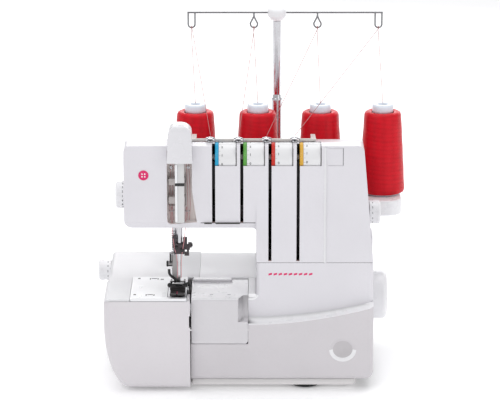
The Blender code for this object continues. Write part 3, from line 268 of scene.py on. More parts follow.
def ply_thread(name, colour):
    """A single run of sewing thread with the twist of its plies."""
    n = Nodes(name)
    twist = n.add("ShaderNodeTexWave", wave_type="BANDS", bands_direction="DIAGONAL")
    twist.inputs["Scale"].default_value = 900.0
    twist.inputs["Distortion"].default_value = 1.0
    n.link(n.coordinates, twist.inputs["Vector"])
    base = n.mix(twist.outputs["Fac"], shade(colour, 0.8), shade(colour, 1.15))
    n.link(base, n.shader.inputs["Base Color"])
    n.link(n.span(n.noise(300.0), 0.45, 0.6), n.shader.inputs["Roughness"])
    n.link(n.bump(twist.outputs["Fac"], 0.4, 0.0001), n.shader.inputs["Normal"])
    return n.material


def slot_shade_lining():
    """Felt grey lining of the thread slots with painted shade: black near the tension discs, where the deep slots are
    in shade, and browner below them.
    """
    n = Nodes("slot_shade_lining")
    split = n.add("ShaderNodeSeparateXYZ")
    n.link(n.coordinates, split.inputs["Vector"])
    height = n.math("ADD", split.outputs[2], n.math("MULTIPLY", n.noise(90.0), 0.004))
    # painted shade: black at the top of the slots, fading to a brownish grey below
    shadow = n.span(height, 0.0, 1.0, (SLOT_SHADE_Z - 12) * MM, (SLOT_SHADE_Z + 6) * MM)
    tone = n.mix(shadow, (0.62, 0.46, 0.44), (0.012, 0.010, 0.010))
    n.link(n.mix(n.span(n.noise(700.0), 0.0, 0.25), tone, (0.02, 0.016, 0.015)), n.shader.inputs["Base Color"])
    n.link(n.span(n.noise(200.0), 0.55, 0.7), n.shader.inputs["Roughness"])
    n.link(n.bump(n.noise(1200.0, 2.0), 0.15, 0.0002), n.shader.inputs["Normal"])
    return n.material


WHITE = (0.705, 0.693, 0.727)
# A lighter copy of the shell white: painted light on upward faces of the ledge and the looper cover, on the rib, on
# the dimple's lower rim and on the handwheel; it is also the white of the tray, knobs, lifter and mast knob.
WHITE_LIT = (0.825, 0.823, 0.840)


def make_materials():
    made = {
        "shell": plastic("shell_white", WHITE),
        "bright": plastic("lit_white_plastic", WHITE_LIT, 0.3),
        "bed": plastic("bed_white", (0.70, 0.70, 0.715), 0.46, 0.012, 0.08),
        # A lighter copy of the bed white, painted light: it brightens the bed's top under the arm and the spool tray,
        # which shade it.
        "bed_right": plastic("bed_lit_white", (0.91, 0.91, 0.92), 0.46, 0.012, 0.08),
        # A darker copy of the shell white, painted shade, for the front faces of the lower body.
        "lower": plastic("lower_shaded_white", (0.600, 0.577, 0.598), 0.36),
        "side": plastic("side_white", (0.670, 0.645, 0.668), 0.36),
        # A darker copy of the shell white, painted shade, for the looper cover's front.
        "looper": plastic("looper_shaded_white", (0.635, 0.620, 0.642), 0.36),
        "hood": plastic("hood_white", (0.730, 0.725, 0.750), 0.26, 0.02, 0.3),
        "base": plastic("base_grey", (0.77, 0.75, 0.75), 0.45, 0.06),
        # Lighter than the shell white, painted light, to offset the shade in the deep take-up channel.
        "channel": plastic("channel_lit_grey", (0.88, 0.82, 0.80), 0.5, 0.05, 0.0),
        "strip": plastic("strip_grey", (0.62, 0.62, 0.62), 0.35),
        # Near-black: painted shade on the shells' inside faces and in the vent openings, and the dark of the gaps
        # between shells.
        "inner": plastic("shade_and_gap_dark", (0.030, 0.026, 0.024), 0.6, 0.05, 0.0, 0.2),
        # Painted shade in the bowl of the finger dimple.
        "dimple": plastic("dimple_shade_grey", (0.52, 0.50, 0.515), 0.4),
        "slot": slot_shade_lining(),
        # A darker grey-beige, painted shade, for the shaded front of the carry handle.
        "handle": plastic("handle_shade_grey", (0.60, 0.575, 0.55), 0.45, 0.06),
        "black": plastic("black_plastic", (0.012, 0.012, 0.013), 0.35, 0.05, 0.1, 0.2),
        "drum": plastic("dial_white", (0.74, 0.74, 0.75), 0.35),
        "cap": plastic("cone_plastic", (0.74, 0.79, 0.86), 0.32, 0.03, 0.2),
        "chrome": steel("chrome", (0.50, 0.50, 0.52), 0.14, (1, 1, 8), 0.05),
        "pole": steel("pole_chrome", (0.62, 0.62, 0.64), 0.2, (20, 20, 1), 0.06),
        "wire": steel("wire_steel", (0.24, 0.24, 0.25), 0.25, (1, 1, 8), 0.06),
        "steel": steel("ground_steel", (0.60, 0.60, 0.62), 0.3),
        "dark_steel": steel("dark_steel", (0.10, 0.095, 0.095), 0.34, (30, 1, 1)),
        "clamp": steel("clamp_steel", (0.075, 0.066, 0.070), 0.36, (30, 1, 1)),
        "shank": steel("shank_steel", (0.34, 0.33, 0.33), 0.3, (30, 1, 1)),
        # A darker copy of the channel grey, painted shade, for the frame blocks seen in the channel.
        "channel_shade": plastic("channel_shade", (0.52, 0.48, 0.47), 0.5, 0.05, 0.0),
        "plate": steel("plate_steel", (0.50, 0.50, 0.52), 0.33, (30, 1, 1)),
        "enamel": plastic("enamel_white", (0.84, 0.845, 0.86), 0.36, 0.02, 0.2),
        "cast": steel("cast_metal", (0.20, 0.20, 0.21), 0.5, (1, 1, 1), 0.3),
        "rubber": rubber("black_rubber", (0.010, 0.010, 0.011)),
        "thread": wound_thread("red_thread", (0.60, 0.005, 0.015)),
        "line": ply_thread("thread_line", (0.40, 0.17, 0.17)),
        "pink_line": ply_thread("pink_line", (0.66, 0.30, 0.32)),
        "magenta": ink("magenta_ink", (0.68, 0.012, 0.13)),
        "grey_ink": ink("grey_ink", (0.06, 0.06, 0.065)),
        "pale_ink": ink("pale_ink", (0.40, 0.40, 0.42)),
        "white_ink": ink("white_ink", (0.86, 0.84, 0.86)),
    }
    rings = ((0.012, 0.36, 0.60), (0.105, 0.36, 0.055), (0.58, 0.022, 0.010), (0.70, 0.40, 0.045))
    for index, colour in enumerate(rings):
        made["ring_%d" % (index + 1)] = plastic("ring_%d" % (index + 1), colour, 0.38, 0.04)
    return made


M = make_materials()


# ---------------------------------------------------------------- mesh helpers

def add_object(name, mesh, materials, body):
    obj = bpy.data.objects.new(name, mesh)
    bpy.context.scene.collection.objects.link(obj)
    mesh.materials.clear()
    for key in materials:
        mesh.materials.append(M[key])
    if body:
        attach(obj, body)
    return obj


def smooth(mesh, angle=35.0):
    for polygon in mesh.polygons:
        polygon.use_smooth = True
    mesh.set_sharp_from_angle(angle=math.radians(angle))


def bevel(obj, width, segments=2, angle=40.0):
    modifier = obj.modifiers.new("round", "BEVEL")
    modifier.width = width * MM
    modifier.segments = segments
    modifier.limit_method = "ANGLE"
    modifier.angle_limit = math.radians(angle)
    modifier.harden_normals = False
    return obj


def mesh_from(name, points, faces, angle=35.0):
    """Mesh from points in millimetres with its faces turned outwards."""
    work = bmesh.new()
    made = [work.verts.new(Vector(point) * MM) for point in points]
    for face in faces:
        work.faces.new([made[k] for k in face])
    bmesh.ops.remove_doubles(work, verts=work.verts, dist=1e-7)
    bmesh.ops.recalc_face_normals(work, faces=work.faces)
    mesh = bpy.data.meshes.new(name)
    work.to_mesh(mesh)
    work.free()
    smooth(mesh, angle)
    return mesh


def sweep(rings, closed_ends=True, ring_closed=True):
    """Points and faces through rings of equal length."""
    count = len(rings[0])
    points = [point for ring in rings for point in ring]
    faces = []
    if closed_ends:
        faces.append(tuple(range(count)))
        faces.append(tuple(range(len(points) - 1, len(points) - 1 - count, -1)))
    for row in range(len(rings) - 1):
        for k in range(count if ring_closed else count - 1):
            following = (k + 1) % count
            start = row * count
            faces.append((start + k, start + following, start + count + following, start + count + k))
    return points, faces


def place(axis, a, b, along):
    if axis == "X":
        return (along, a, b)
    if axis == "Y":
        return (a, along, b)
    return (a, b, along)


def prism_mesh(name, axis, outline, start, end, angle=35.0):
    points, faces = sweep([[place(axis, a, b, depth) for a, b in outline] for depth in (start, end)])
    return mesh_from(name, points, faces, angle)


def turned(name, axis, a, b, profile, steps=64, ripple=None, angle=35.0):
    """Body of revolution from (radius, along) points; ripple(turn angle, row) adds to the radius."""
    points = []
    rows = []
    for row, (radius, along) in enumerate(profile):
        if radius < 1e-6:
            rows.append([len(points)] * steps)
            points.append(place(axis, a, b, along))
            continue
        rows.append(list(range(len(points), len(points) + steps)))
        for k in range(steps):
            turn = 2 * math.pi * k / steps
            size = radius + (ripple(turn, row) if ripple else 0.0)
            points.append(place(axis, a + size * math.cos(turn), b + size * math.sin(turn), along))
    faces = []
    for lower, upper in zip(rows, rows[1:]):
        for k in range(steps):
            following = (k + 1) % steps
            corners = [lower[k], lower[following], upper[following], upper[k]]
            corners = [corner for n, corner in enumerate(corners) if corner not in corners[:n]]
            if len(corners) > 2:
                faces.append(tuple(corners))
    return mesh_from(name, points, faces, angle)


def tube_mesh(name, path, radius, steps=10, samples=0):
    """Round wire along a path; samples > 0 runs a smooth curve through the path's points."""
    path = [Vector(point) for point in path]
    if samples:
        path = smooth_path(path, samples)
    side = Vector((0.37, 0.61, 0.7)).cross(path[1] - path[0]).normalized()
    rings = []
    for k, point in enumerate(path):
        forward = (path[min(k + 1, len(path) - 1)] - path[max(k - 1, 0)]).normalized()
        side = (side - forward * side.dot(forward)).normalized()
        other = forward.cross(side)
        turns = [2 * math.pi * step / steps for step in range(steps)]
        rings.append([
            tuple(point + side * (radius * math.cos(turn)) + other * (radius * math.sin(turn)))
            for turn in turns
        ])
    points, faces = sweep(rings)
    return mesh_from(name, points, faces, 60.0)


def smooth_path(path, samples):
    """Catmull-Rom curve through the points."""
    ends = [path[0] * 2 - path[1], *path, path[-1] * 2 - path[-2]]
    result = []
    for k in range(1, len(ends) - 2):
        before, start, end, after = ends[k - 1:k + 3]
        for step in range(samples):
            t = step / samples
            result.append(0.5 * (
                start * 2 + (end - before) * t + (before * 2 - start * 5 + end * 4 - after) * t * t
                + (start * 3 - before - end * 3 + after) * t * t * t
            ))
    result.append(ends[-2])
    return result


def rounded(x0, x1, y0, y1, radius, steps=5):
    """Rounded rectangle as a closed outline."""
    outline = []
    corners = ((x1 - radius, y1 - radius, 0), (x0 + radius, y1 - radius, 90),
               (x0 + radius, y0 + radius, 180), (x1 - radius, y0 + radius, 270))
    for x, y, start in corners:
        for step in range(steps + 1):
            turn = math.radians(start + 90 * step / steps)
            outline.append((x + radius * math.cos(turn), y + radius * math.sin(turn)))
    return outline


def piece(name, mesh, materials, body=FIXED):
    if isinstance(materials, str):
        materials = [materials]
    return add_object(name, mesh, materials, body)


def welded_copy(node):
    """The CAD node's mesh with its split edges joined again."""
    mesh = NODES[node].data.copy()
    work = bmesh.new()
    work.from_mesh(mesh)
    bmesh.ops.remove_doubles(work, verts=work.verts, dist=2e-6)
    bmesh.ops.dissolve_degenerate(work, edges=work.edges, dist=1e-7)
    flat = [edge for edge in work.edges if len(edge.link_faces) == 2 and edge.calc_face_angle(1.0) < 0.002]
    bmesh.ops.dissolve_edges(work, edges=flat, use_verts=False)
    work.to_mesh(mesh)
    work.free()
    return mesh


def dressed(node, materials, round_edges=0.0, angle=32.0, zone=None, segments=2):
    """A piece of the CAD node's own shape, smooth shaded, with softened edges and one or more materials.

    zone(centre in mm, normal) gives the place in the list of materials of each face.
    """
    if isinstance(materials, str):
        materials = [materials]
    mesh = welded_copy(node)
    obj = add_object(node + "_body", mesh, materials, NODE_BODY[node])
    if zone is not None:
        for polygon in mesh.polygons:
            polygon.material_index = zone(polygon.center / MM, polygon.normal)
    smooth(mesh, angle)
    if round_edges:
        bevel(obj, round_edges, segments)
    obj.modifiers.new("flat_faces", "WEIGHTED_NORMAL").keep_sharp = True
    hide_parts(node)
    return obj


# ---------------------------------------------------------------- shells

def hits_itself(mesh):
    tree = BVHTree.FromPolygons(
        [vertex.co for vertex in mesh.vertices], [tuple(polygon.vertices) for polygon in mesh.polygons]
    )

    def test(centre, normal):
        start = centre * MM + normal * 1e-5
        return tree.ray_cast(start, normal, 0.3)[0] is not None

    return test


def dress_tension_panel():
    inside = hits_itself(NODES["tension_panel"].data)

    def zone(centre, normal):
        x, y, z = centre
        # painted highlight: the vertical rib's front faces take the lighter white
        if y < FACE_Y - 0.1 and 78 < x < 85:
            return 4
        if y < FACE_Y + 0.25:
            return 0
        for index in range(4):
            middle_x = slot_x(index)
            if abs(x - middle_x) < SLOT_HALF + 0.15 and y < -70 and z < TOP_Z:
                return 2
            if middle_x < x < middle_x + 26 and z > WINDOW_LOW - 0.3 and FACE_Y < y < -60:
                return 0
        # painted light: the channel's faces take the lightened channel grey
        if CHANNEL_LEFT - 0.3 < x < -60 and 186 < z < 272.3 and y < CHANNEL_BACK + 5:
            return 1
        if -57 < x < 6 and 188.8 < z < 190.0:
            return 3
        # painted shade: faces inside the panel turn near-black
        if y > FACE_Y + 8 and (inside(centre, normal) or normal.y > 0.5):
            return 3
        return 0

    dressed("tension_panel", ["shell", "channel", "slot", "inner", "bright"], zone=zone)


def front_zone(centre, normal, inside):
    """Places in front_case's list: bed, lower (painted shade), bright (painted light), dimple grey (painted shade),
    inner (painted shade) and bed_right (painted light).
    """
    x, y, z = centre
    out = math.hypot(x - DIMPLE_X, (z - DIMPLE_Z) / 0.9)
    # painted shade and highlight in the finger dimple: the bowl is grey, the lower rim takes the lighter white and the
    # upper rim the darker lower white
    if out < 16.2 and y < BULGE_Y + 6:
        return 3 if out < 12 else 2 if y > BULGE_Y + 0.3 and z < DIMPLE_Z - 1 else 1
    # painted light: the bed's top beside the tower takes the lighter bed white
    if x < 6 and z > 95 and normal.z > 0.3:
        return 5
    # painted shade: rear-facing and inside faces turn near-black
    if normal.y > 0.5 or (y > FACE_Y + 14 and inside(centre, normal)):
        return 4
    # painted light: upward faces of the ledge take the lighter white
    if y < FACE_Y - 0.3 and normal.z > 0.25 and z > 60:
        return 2
    # painted shade: faces standing in front of the upper face take the darker lower white
    return 1 if y < FACE_Y - 0.3 else 0


def rear_zone(centre, normal):
    # painted light: the bed's top in front of the tower takes the lighter bed white
    if centre.x < 6 and centre.z < 109 and centre.y > -21 and normal.z > -0.5:
        return 2
    # painted shade: front-facing faces inside the body turn near-black at the tower and above the arm's lip
    if normal.y < -0.5 and centre.y > -47 and 104 < centre.z < 276:
        return 1 if centre.x > 5 or centre.z > 186 else 0
    return 0


def dress_shells():
    dress_tension_panel()
    dressed("rear_case", ["shell", "inner", "bed_right"], zone=rear_zone)
    inside = hits_itself(NODES["front_case"].data)
    dressed("front_case", ["shell", "lower", "bright", "dimple", "inner", "bed_right"], angle=30,
            zone=lambda centre, normal: front_zone(centre, normal, inside))
    # painted light on the looper cover's top faces, which take the lighter white; painted shade on the rest, which
    # take the darker looper white
    dressed("looper_cover", ["looper", "bright"], angle=30,
            zone=lambda centre, normal: 1 if normal.z > 0.7 and centre.z > 100 else 0)
    dressed("side_cover", ["side", "bed"], angle=30,
            zone=lambda centre, normal: 1 if normal.z > 0.7 and centre.z > 100 else 0)
    dressed("bed_cover", "bed")
    dressed("take_up_cover", ["hood", "strip"], angle=50,
            zone=lambda centre, normal: 1 if centre.y > -95 and centre.z < 257 else 0)
    dressed("spool_tray", "bright", 0.4)
    dressed("base_plate", "base", 0.5)
    # painted shade: the carry handle takes the darker grey-beige
    dressed("carry_handle", "handle", 0.5)
    for corner in ("front_left", "front_right", "rear_left", "rear_right"):
        dressed("foot_" + corner, "rubber", 0.3)


# ---------------------------------------------------------------- thread cones

def make_cones():
    """Each cone: a white plastic core with a flared foot and a collar, and red thread wound on it."""
    for index in range(1, 5):
        node = "thread_cone_%d" % index
        centre, base, top = middle(node), low(node).z, high(node).z
        body = NODE_BODY[node]
        wound = [(18.0, base + 1.6), (23.6, base + 1.2), (25.2, base + 2.2), (25.95, base + 4.4)]
        for k in range(1, 24):
            share = k / 24
            wound.append((25.95 - 4.2 * share - 0.5 * share * share, base + 4.4 + 86.4 * share))
        wound += [(21.0, base + 92.0), (20.0, base + 94.2), (17.8, base + 95.4), (14.5, base + 95.5), (12.6, base + 94.6)]
        profile = [(radius, along - base) for radius, along in wound]
        mesh = turned("thread_wound", "Z", 0, 0, profile, 96, lambda turn, row: 0.10 * math.sin(3 * turn + row), 60)
        obj = bpy.data.objects.new("wound_thread_%d" % index, mesh)
        bpy.context.scene.collection.objects.link(obj)
        mesh.materials.append(M["thread"])
        obj.location = (centre.x * MM, centre.y * MM, base * MM)
        obj.rotation_euler.z = 0.7 * index
        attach(obj, body)
        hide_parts(node)
        bore = 4.2
        core = [
            (bore, base), (22.2, base), (22.8, base + 0.5), (22.8, base + 1.15), (14.0, base + 1.5),
            (11.4, base + 94.5), (12.0, base + 95.2), (12.2, base + 96.6), (12.15, top - 2.6), (11.7, top - 1.0),
            (10.6, top - 0.1), (6.6, top - 0.1), (5.6, top - 0.9), (5.0, top - 3.0), (bore, top - 6.0),
            (bore, base + 30.0), (bore, base),
        ]
        piece("cone_core_%d" % index, turned("cone_core", "Z", centre.x, centre.y, core, 64), "cap", body)


# ---------------------------------------------------------------- dials

def numeral(text, size):
    """Mesh of a digit, its middle at the origin, as (points in mm, faces)."""
    curve = bpy.data.curves.new("numeral", "FONT")
    curve.body = text
    curve.size = size
    curve.align_x = "CENTER"
    curve.align_y = "CENTER"
    curve.resolution_u = 3
    curve.offset = 0.02 * size
    obj = bpy.data.objects.new("numeral", curve)
    bpy.context.scene.collection.objects.link(obj)
    bpy.context.view_layer.update()
    mesh = bpy.data.meshes.new_from_object(obj.evaluated_get(bpy.context.evaluated_depsgraph_get()))
    points = [tuple(vertex.co[:2]) for vertex in mesh.vertices]
    faces = [tuple(polygon.vertices) for polygon in mesh.polygons]
    bpy.data.objects.remove(obj)
    bpy.data.curves.remove(curve)
    bpy.data.meshes.remove(mesh)
    return points, faces


DIGITS = {}


def ring_of_digits(name, texts, size, x, y, z, radius, step, body, key="grey_ink", start=0.0):
    """Printed digits round a drum on the X axis; step is the turn between two digits in degrees."""
    points = []
    faces = []
    for index, text in enumerate(texts):
        if (text, size) not in DIGITS:
            DIGITS[text, size] = numeral(text, size)
        flat, flat_faces = DIGITS[text, size]
        first = len(points)
        for u, v in flat:
            turn = math.radians(start + step * index) + v / radius
            points.append((x + u, y - radius * math.cos(turn), z + radius * math.sin(turn)))
        faces += [tuple(first + k for k in face) for face in flat_faces]
    mesh = bpy.data.meshes.new(name)
    mesh.from_pydata([Vector(point) * MM for point in points], [], faces)
    return piece(name, mesh, key, body)


def ring_of_ticks(name, count, width, height, x, y, z, radius, body, start=0.0, key="grey_ink"):
    points = []
    faces = []
    for index in range(count):
        middle_turn = math.radians(start + 360.0 * index / count)
        first = len(points)
        for u, v in ((0, -height / 2), (width, -height / 2), (width, height / 2), (0, height / 2)):
            turn = middle_turn + v / radius
            points.append((x + u, y - radius * math.cos(turn), z + radius * math.sin(turn)))
        faces.append(tuple(range(first, first + 4)))
    mesh = bpy.data.meshes.new(name)
    mesh.from_pydata([Vector(point) * MM for point in points], [], faces)
    return piece(name, mesh, key, body)


def make_tension_dials():
    """Four thumb wheels in their windows: a coloured knurled ring and a white drum printed 0 to 9."""
    for index in range(1, 5):
        node = "tension_dial_%d" % index
        centre, start, end = middle(node), low(node).x, high(node).x
        body = NODE_BODY[node]
        full = DIAL_RADIUS
        ring_end = start + 4.0
        knurl = [(3.6, start), (full - 0.9, start), (full - 0.25, start + 0.5), (full - 0.25, ring_end - 0.3),
                 (full - 0.8, ring_end), (3.6, ring_end)]

        def teeth(turn, row):
            return 0.24 * math.cos(54 * turn) if 2 <= row <= 3 else 0.0

        ring = turned("ring", "X", centre.y, centre.z, knurl, 216, teeth, 40)
        piece("tension_ring_%d" % index, ring, "ring_%d" % index, body)
        drum = [(3.6, ring_end), (full - 0.9, ring_end), (full - 0.25, ring_end + 0.35), (full - 0.1, ring_end + 1.0),
                (full - 0.1, end - 0.8), (full - 0.8, end), (3.6, end)]
        obj = piece("tension_drum_%d" % index, turned("drum", "X", centre.y, centre.z, drum, 120), "drum", body)
        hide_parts(node)
        digits = "0123456789"
        ring_of_digits("tension_digits_%d" % index, digits, 3.9, start + 7.9, centre.y, centre.z, full, 36, body,
                       start=-20.0 + 3 * index)
        ring_of_ticks("tension_ticks_%d" % index, 20, 1.4, 0.4, start + 4.6, centre.y, centre.z, full, body,
                      start=-20.0 + 3 * index, key="pale_ink")


def make_side_dial(node, wall_is_low, digits, size):
    """Knob on the side: plain skirt with printed digits by the wall and a fine grip at its end."""
    centre = middle(node)
    body = NODE_BODY[node]
    joint = [j for j in frame["joints"] if j["child"] == body][0]
    y, z = joint["pos_m"][1] / MM, joint["pos_m"][2] / MM
    radius = high(node).z - z
    wall = joint["pos_m"][0] / MM
    outer = high(node).x if wall_is_low else low(node).x
    stem = low(node).x if wall_is_low else high(node).x
    sign = 1.0 if wall_is_low else -1.0
    depth = abs(outer - wall)
    profile = [(0, stem), (3.1, stem), (3.1, wall), (radius - 0.5, wall), (radius - 0.1, wall + 0.4 * sign)]
    for k in range(1, 4):
        profile.append((radius - 0.1, wall + sign * depth * 0.14 * k))
    grip_first = len(profile)
    for share in (0.48, 0.52, 0.8, 0.86):
        profile.append((radius - 0.22, wall + sign * depth * share))
    profile += [(radius - 0.9, outer - 0.7 * sign), (radius - 2.2, outer), (radius - 4.2, outer),
                (radius - 5.0, outer - 0.6 * sign), (0, outer - 0.8 * sign)]

    def grip(turn, row):
        return 0.2 * math.cos(40 * turn) if grip_first + 1 <= row <= grip_first + 2 else 0.0

    obj = piece(node + "_knob", turned("knob", "X", y, z, profile, 160, grip, 40), "bright", body)
    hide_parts(node)
    step = 360.0 / len(digits)
    x = wall + sign * depth * 0.26
    ring_of_digits(node + "_digits", digits, size, x, y, z, radius + 0.02, step, body, start=8.0)
    ring_of_ticks(node + "_ticks", len(digits), 1.2, 0.4, wall + sign * 1.2 - 0.6, y, z, radius - 0.05, body,
                  start=8.0 + step / 2, key="pale_ink")


def make_side_dials():
    make_side_dial("presser_pressure_dial", False, "123456789123456789", 3.3)
    make_side_dial("differential_feed_dial", False, "246802468024", 2.9)
    make_side_dial("stitch_length_dial", True, "1234512345123", 3.0)


def make_handwheel():
    node = "handwheel"
    body = NODE_BODY[node]
    joint = JOINTS["handwheel_spin"]["pos_m"]
    y, z = joint[1] / MM, joint[2] / MM
    radius = high(node).z - z
    inner, outer = low(node).x, high(node).x
    profile = [(0, outer - 5.0), (4.3, outer - 5.0), (4.3, inner), (radius - 1.6, inner)]
    for k in range(5):
        turn = math.radians(90 * k / 4)
        profile.append((radius - 1.6 + 1.6 * math.sin(turn), inner + 1.6 - 1.6 * math.cos(turn)))
    profile += [(radius, inner + 6.0), (radius - 0.1, outer - 6.5)]
    for k in range(7):
        turn = math.radians(90 * k / 6)
        profile.append((radius - 6.1 + 6.0 * math.cos(turn), outer - 6.0 + 6.0 * math.sin(turn)))
    profile += [(radius - 9.0, outer), (radius - 11.0, outer - 0.7), (radius - 12.0, outer - 1.4),
                (4.0, outer - 1.6), (0, outer - 1.6)]
    # painted light: the handwheel rim takes the lighter copy of the white
    obj = piece("handwheel_rim", turned("handwheel", "X", y, z, profile, 128), "bright", body)
    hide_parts(node)
    points = []
    faces = []
    arc_radius = 9.5
    for k in range(13):
        turn = math.radians(200 - 10 * k)
        for size in (arc_radius - 0.5, arc_radius + 0.5):
            points.append((outer - 1.25, y + size * math.cos(turn), z + size * math.sin(turn)))
    for k in range(12):
        faces.append((2 * k, 2 * k + 1, 2 * k + 3, 2 * k + 2))
    tip = math.radians(70)
    first = len(points)
    for size, lead in ((arc_radius - 1.7, 80), (arc_radius + 1.7, 80), (arc_radius, 62)):
        turn = math.radians(lead)
        points.append((outer - 1.25, y + size * math.cos(turn), z + size * math.sin(turn)))
    faces.append((first, first + 1, first + 2))
    mesh = bpy.data.meshes.new("turn_arrow")
    mesh.from_pydata([Vector(point) * MM for point in points], [], faces)
    piece("turn_arrow", mesh, "pale_ink", body)


# ---------------------------------------------------------------- thread stand

def loop_path(index, x, y, wire_z, lowest):
    """Hanging eye of the guide wire: a long U at both ends, a twisted drop in the middle."""
    if index in (0, 3):
        half = 3.9
        path = [(x - half, y, wire_z), (x - half, y, lowest + half + 4)]
        for k in range(17):
            turn = math.pi * k / 16
            path.append((x - half * math.cos(turn), y, lowest + half - half * math.sin(turn)))
        return path + [(x + half, y, lowest + half + 4), (x + half, y, wire_z)]
    centre = lowest + 4.2
    path = [(x - 0.2, y - 1.0, wire_z), (x + 0.3, y - 1.0, centre + 8.5)]
    for degrees in range(40, -221, -13):
        turn = math.radians(degrees)
        path.append((x + 4.1 * math.cos(turn), y - 1.0 + 2.0 * (40 - degrees) / 260, centre + 4.2 * math.sin(turn)))
    return path + [(x - 0.3, y + 1.0, centre + 8.5), (x + 0.2, y + 1.0, wire_z)]


def make_mast():
    tube, rod, cap = "antenna_tube", "antenna_rod", "antenna_cap"
    x, y = middle(tube).x, middle(tube).y
    base, top = low(tube).z, high(tube).z
    sleeve = [(4.95, base), (8.9, base), (8.9, base + 4.4), (8.2, base + 5.2), (6.4, base + 6.0), (5.8, base + 8.0),
              (5.8, top - 3.0), (6.0, top - 2.8), (6.0, top - 0.8), (5.6, top), (4.95, top), (4.95, base)]
    obj = piece("antenna_sleeve", turned("sleeve", "Z", x, y, sleeve, 48), "pole", NODE_BODY[tube])
    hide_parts(tube)
    low_z, high_z = low(rod).z, high(rod).z
    radius = (high(rod).x - low(rod).x) / 2
    pole = [(0, low_z), (radius, low_z), (radius, top + 3.0), (radius - 0.35, top + 3.6), (radius - 0.35, top + 4.6),
            (radius, top + 5.2), (radius, high_z - 0.4), (0, high_z)]
    obj = piece("antenna_pole", turned("pole", "Z", x, y, pole, 40), "pole", NODE_BODY[rod])
    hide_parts(rod)
    base, top = low(cap).z, high(cap).z
    knob = [(0, base), (5.8, base), (6.6, base + 0.6), (8.4, base + 2.4), (10.2, base + 4.6), (10.6, base + 6.2),
            (10.6, top - 3.6), (10.2, top - 2.2), (9.0, top - 1.0), (7.0, top - 0.3), (0, top)]
    obj = piece("antenna_knob", turned("knob", "Z", x, y, knob, 56), "bright", NODE_BODY[cap])
    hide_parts(cap)


def make_guide():
    node = "antenna_guide"
    body = NODE_BODY[node]
    wire_z, lowest = high(node).z - 1.0, low(node).z + 0.9
    y = middle(node).y
    left, right = low(node).x, high(node).x
    cap = middle("antenna_cap")
    ends = (left + 4.9 - 3.9 - 1.0, right - 4.9 + 3.9 + 1.0)
    radius = 1.05
    main = tube_mesh("wire", [(ends[0], y, wire_z), (cap.x - 11, y, wire_z), (cap.x, y, wire_z), (ends[1], y, wire_z)],
                     radius, 12)
    obj = piece("guide_wire", main, "wire", body)
    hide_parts(node)
    for index, x in enumerate(loop_places()):
        mesh = tube_mesh("eye", loop_path(index, x, y, wire_z, lowest), radius * 0.9, 10, 2)
        piece("guide_eye_%d" % (index + 1), mesh, "wire", body)


def loop_places():
    """X of the four hanging eyes: the outer two from the wire's ends, the inner two a third of the way in."""
    node = "antenna_guide"
    first = low(node).x + 4.9
    last = high(node).x - 4.9
    return (first, first + (last - first) / 3 + 0.1, last - (last - first) / 3 + 1.5, last)


def make_clips():
    for index in range(1, 5):
        node = "thread_clip_%d" % index
        x, y = slot_x(index - 1) - 4.0, -63.5
        base = low(node).z
        disc = [(0, base), (1.5, base), (1.5, base + 0.5), (4.2, base + 0.8), (4.85, base + 1.3), (4.6, base + 1.9),
                (2.2, base + 2.5), (1.2, base + 2.75), (2.2, base + 3.0), (4.6, base + 3.5), (4.85, base + 4.0),
                (4.2, base + 4.6), (2.6, base + 4.9), (1.7, base + 5.1), (1.5, base + 5.3), (0, base + 5.35)]
        obj = piece("clip_discs_%d" % index, turned("clip", "Z", x, y, disc, 40), "chrome")
        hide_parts(node)
        tail = [(x + 0.6, y - 0.3, base + 4.7), (x + 3.2, y - 1.2, base + 4.6), (x + 5.4, y - 1.9, base + 3.6),
                (x + 6.5, y - 2.3, base + 1.9), (x + 6.8, y - 2.3, base + 0.1)]
        piece("clip_spring_%d" % index, tube_mesh("tail", tail, 0.6, 10, 6), "chrome")


def make_threads():
    """The four runs from cone to guide eye to clip, each in two halves."""
    crossing = low("antenna_guide").z + 2.6
    y = middle("antenna_guide").y
    for index in range(4):
        number = index + 1
        cone = middle("thread_cone_%d" % number)
        x = loop_places()[index]
        top = (x, y, crossing)
        cone_end = (cone.x, cone.y, high("thread_cone_%d" % number).z + 0.6)
        clip_end = (slot_x(index) - 3.5, -60.0, low("thread_%d" % number).z + 0.3)
        halves = (("thread_rise_%d" % number, cone_end, -0.5), ("thread_fall_%d" % number, clip_end, 0.5))
        for name, end, side in halves:
            path = [end, (x + side, y - 1.8, crossing - 2.0), (x + side, y - 1.0, crossing - 0.3), top]
            obj = piece(name, tube_mesh("thread", path, 0.33, 8), "line")
            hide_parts("thread_%d" % number)
            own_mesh(obj)


# ---------------------------------------------------------------- needle and presser parts

def screw_head(name, axis, a, b, base, direction, radius, key, body, turn=20.0):
    """Slotted screw head standing on base along direction."""
    top = base + direction * radius * 0.62
    profile = [(0, base), (radius, base), (radius, top - direction * radius * 0.22), (radius * 0.82, top), (0, top)]
    head = piece(name, turned(name, axis, a, b, profile, 32), key, body)
    half, wide = radius * 0.78, radius * 0.13
    c, s = math.cos(math.radians(turn)), math.sin(math.radians(turn))
    corners = [(half * c - wide * s, half * s + wide * c), (-half * c - wide * s, -half * s + wide * c),
               (-half * c + wide * s, -half * s - wide * c), (half * c + wide * s, half * s - wide * c)]
    slot = [(a + u, b + v) for u, v in corners]
    mesh = prism_mesh(name + "_slot", axis, slot, top + direction * 0.03, top - direction * 0.1)
    piece(name + "_slot", mesh, "black", body)
    return head


def coil(name, x, y, start, end, radius, wire, turns, key, body):
    path = []
    steps = int(turns * 20)
    for k in range(steps + 1):
        turn = 2 * math.pi * turns * k / steps
        path.append((x + radius * math.cos(turn), y + radius * math.sin(turn), start + (end - start) * k / steps))
    return piece(name, tube_mesh(name, path, wire, 8), key, body)


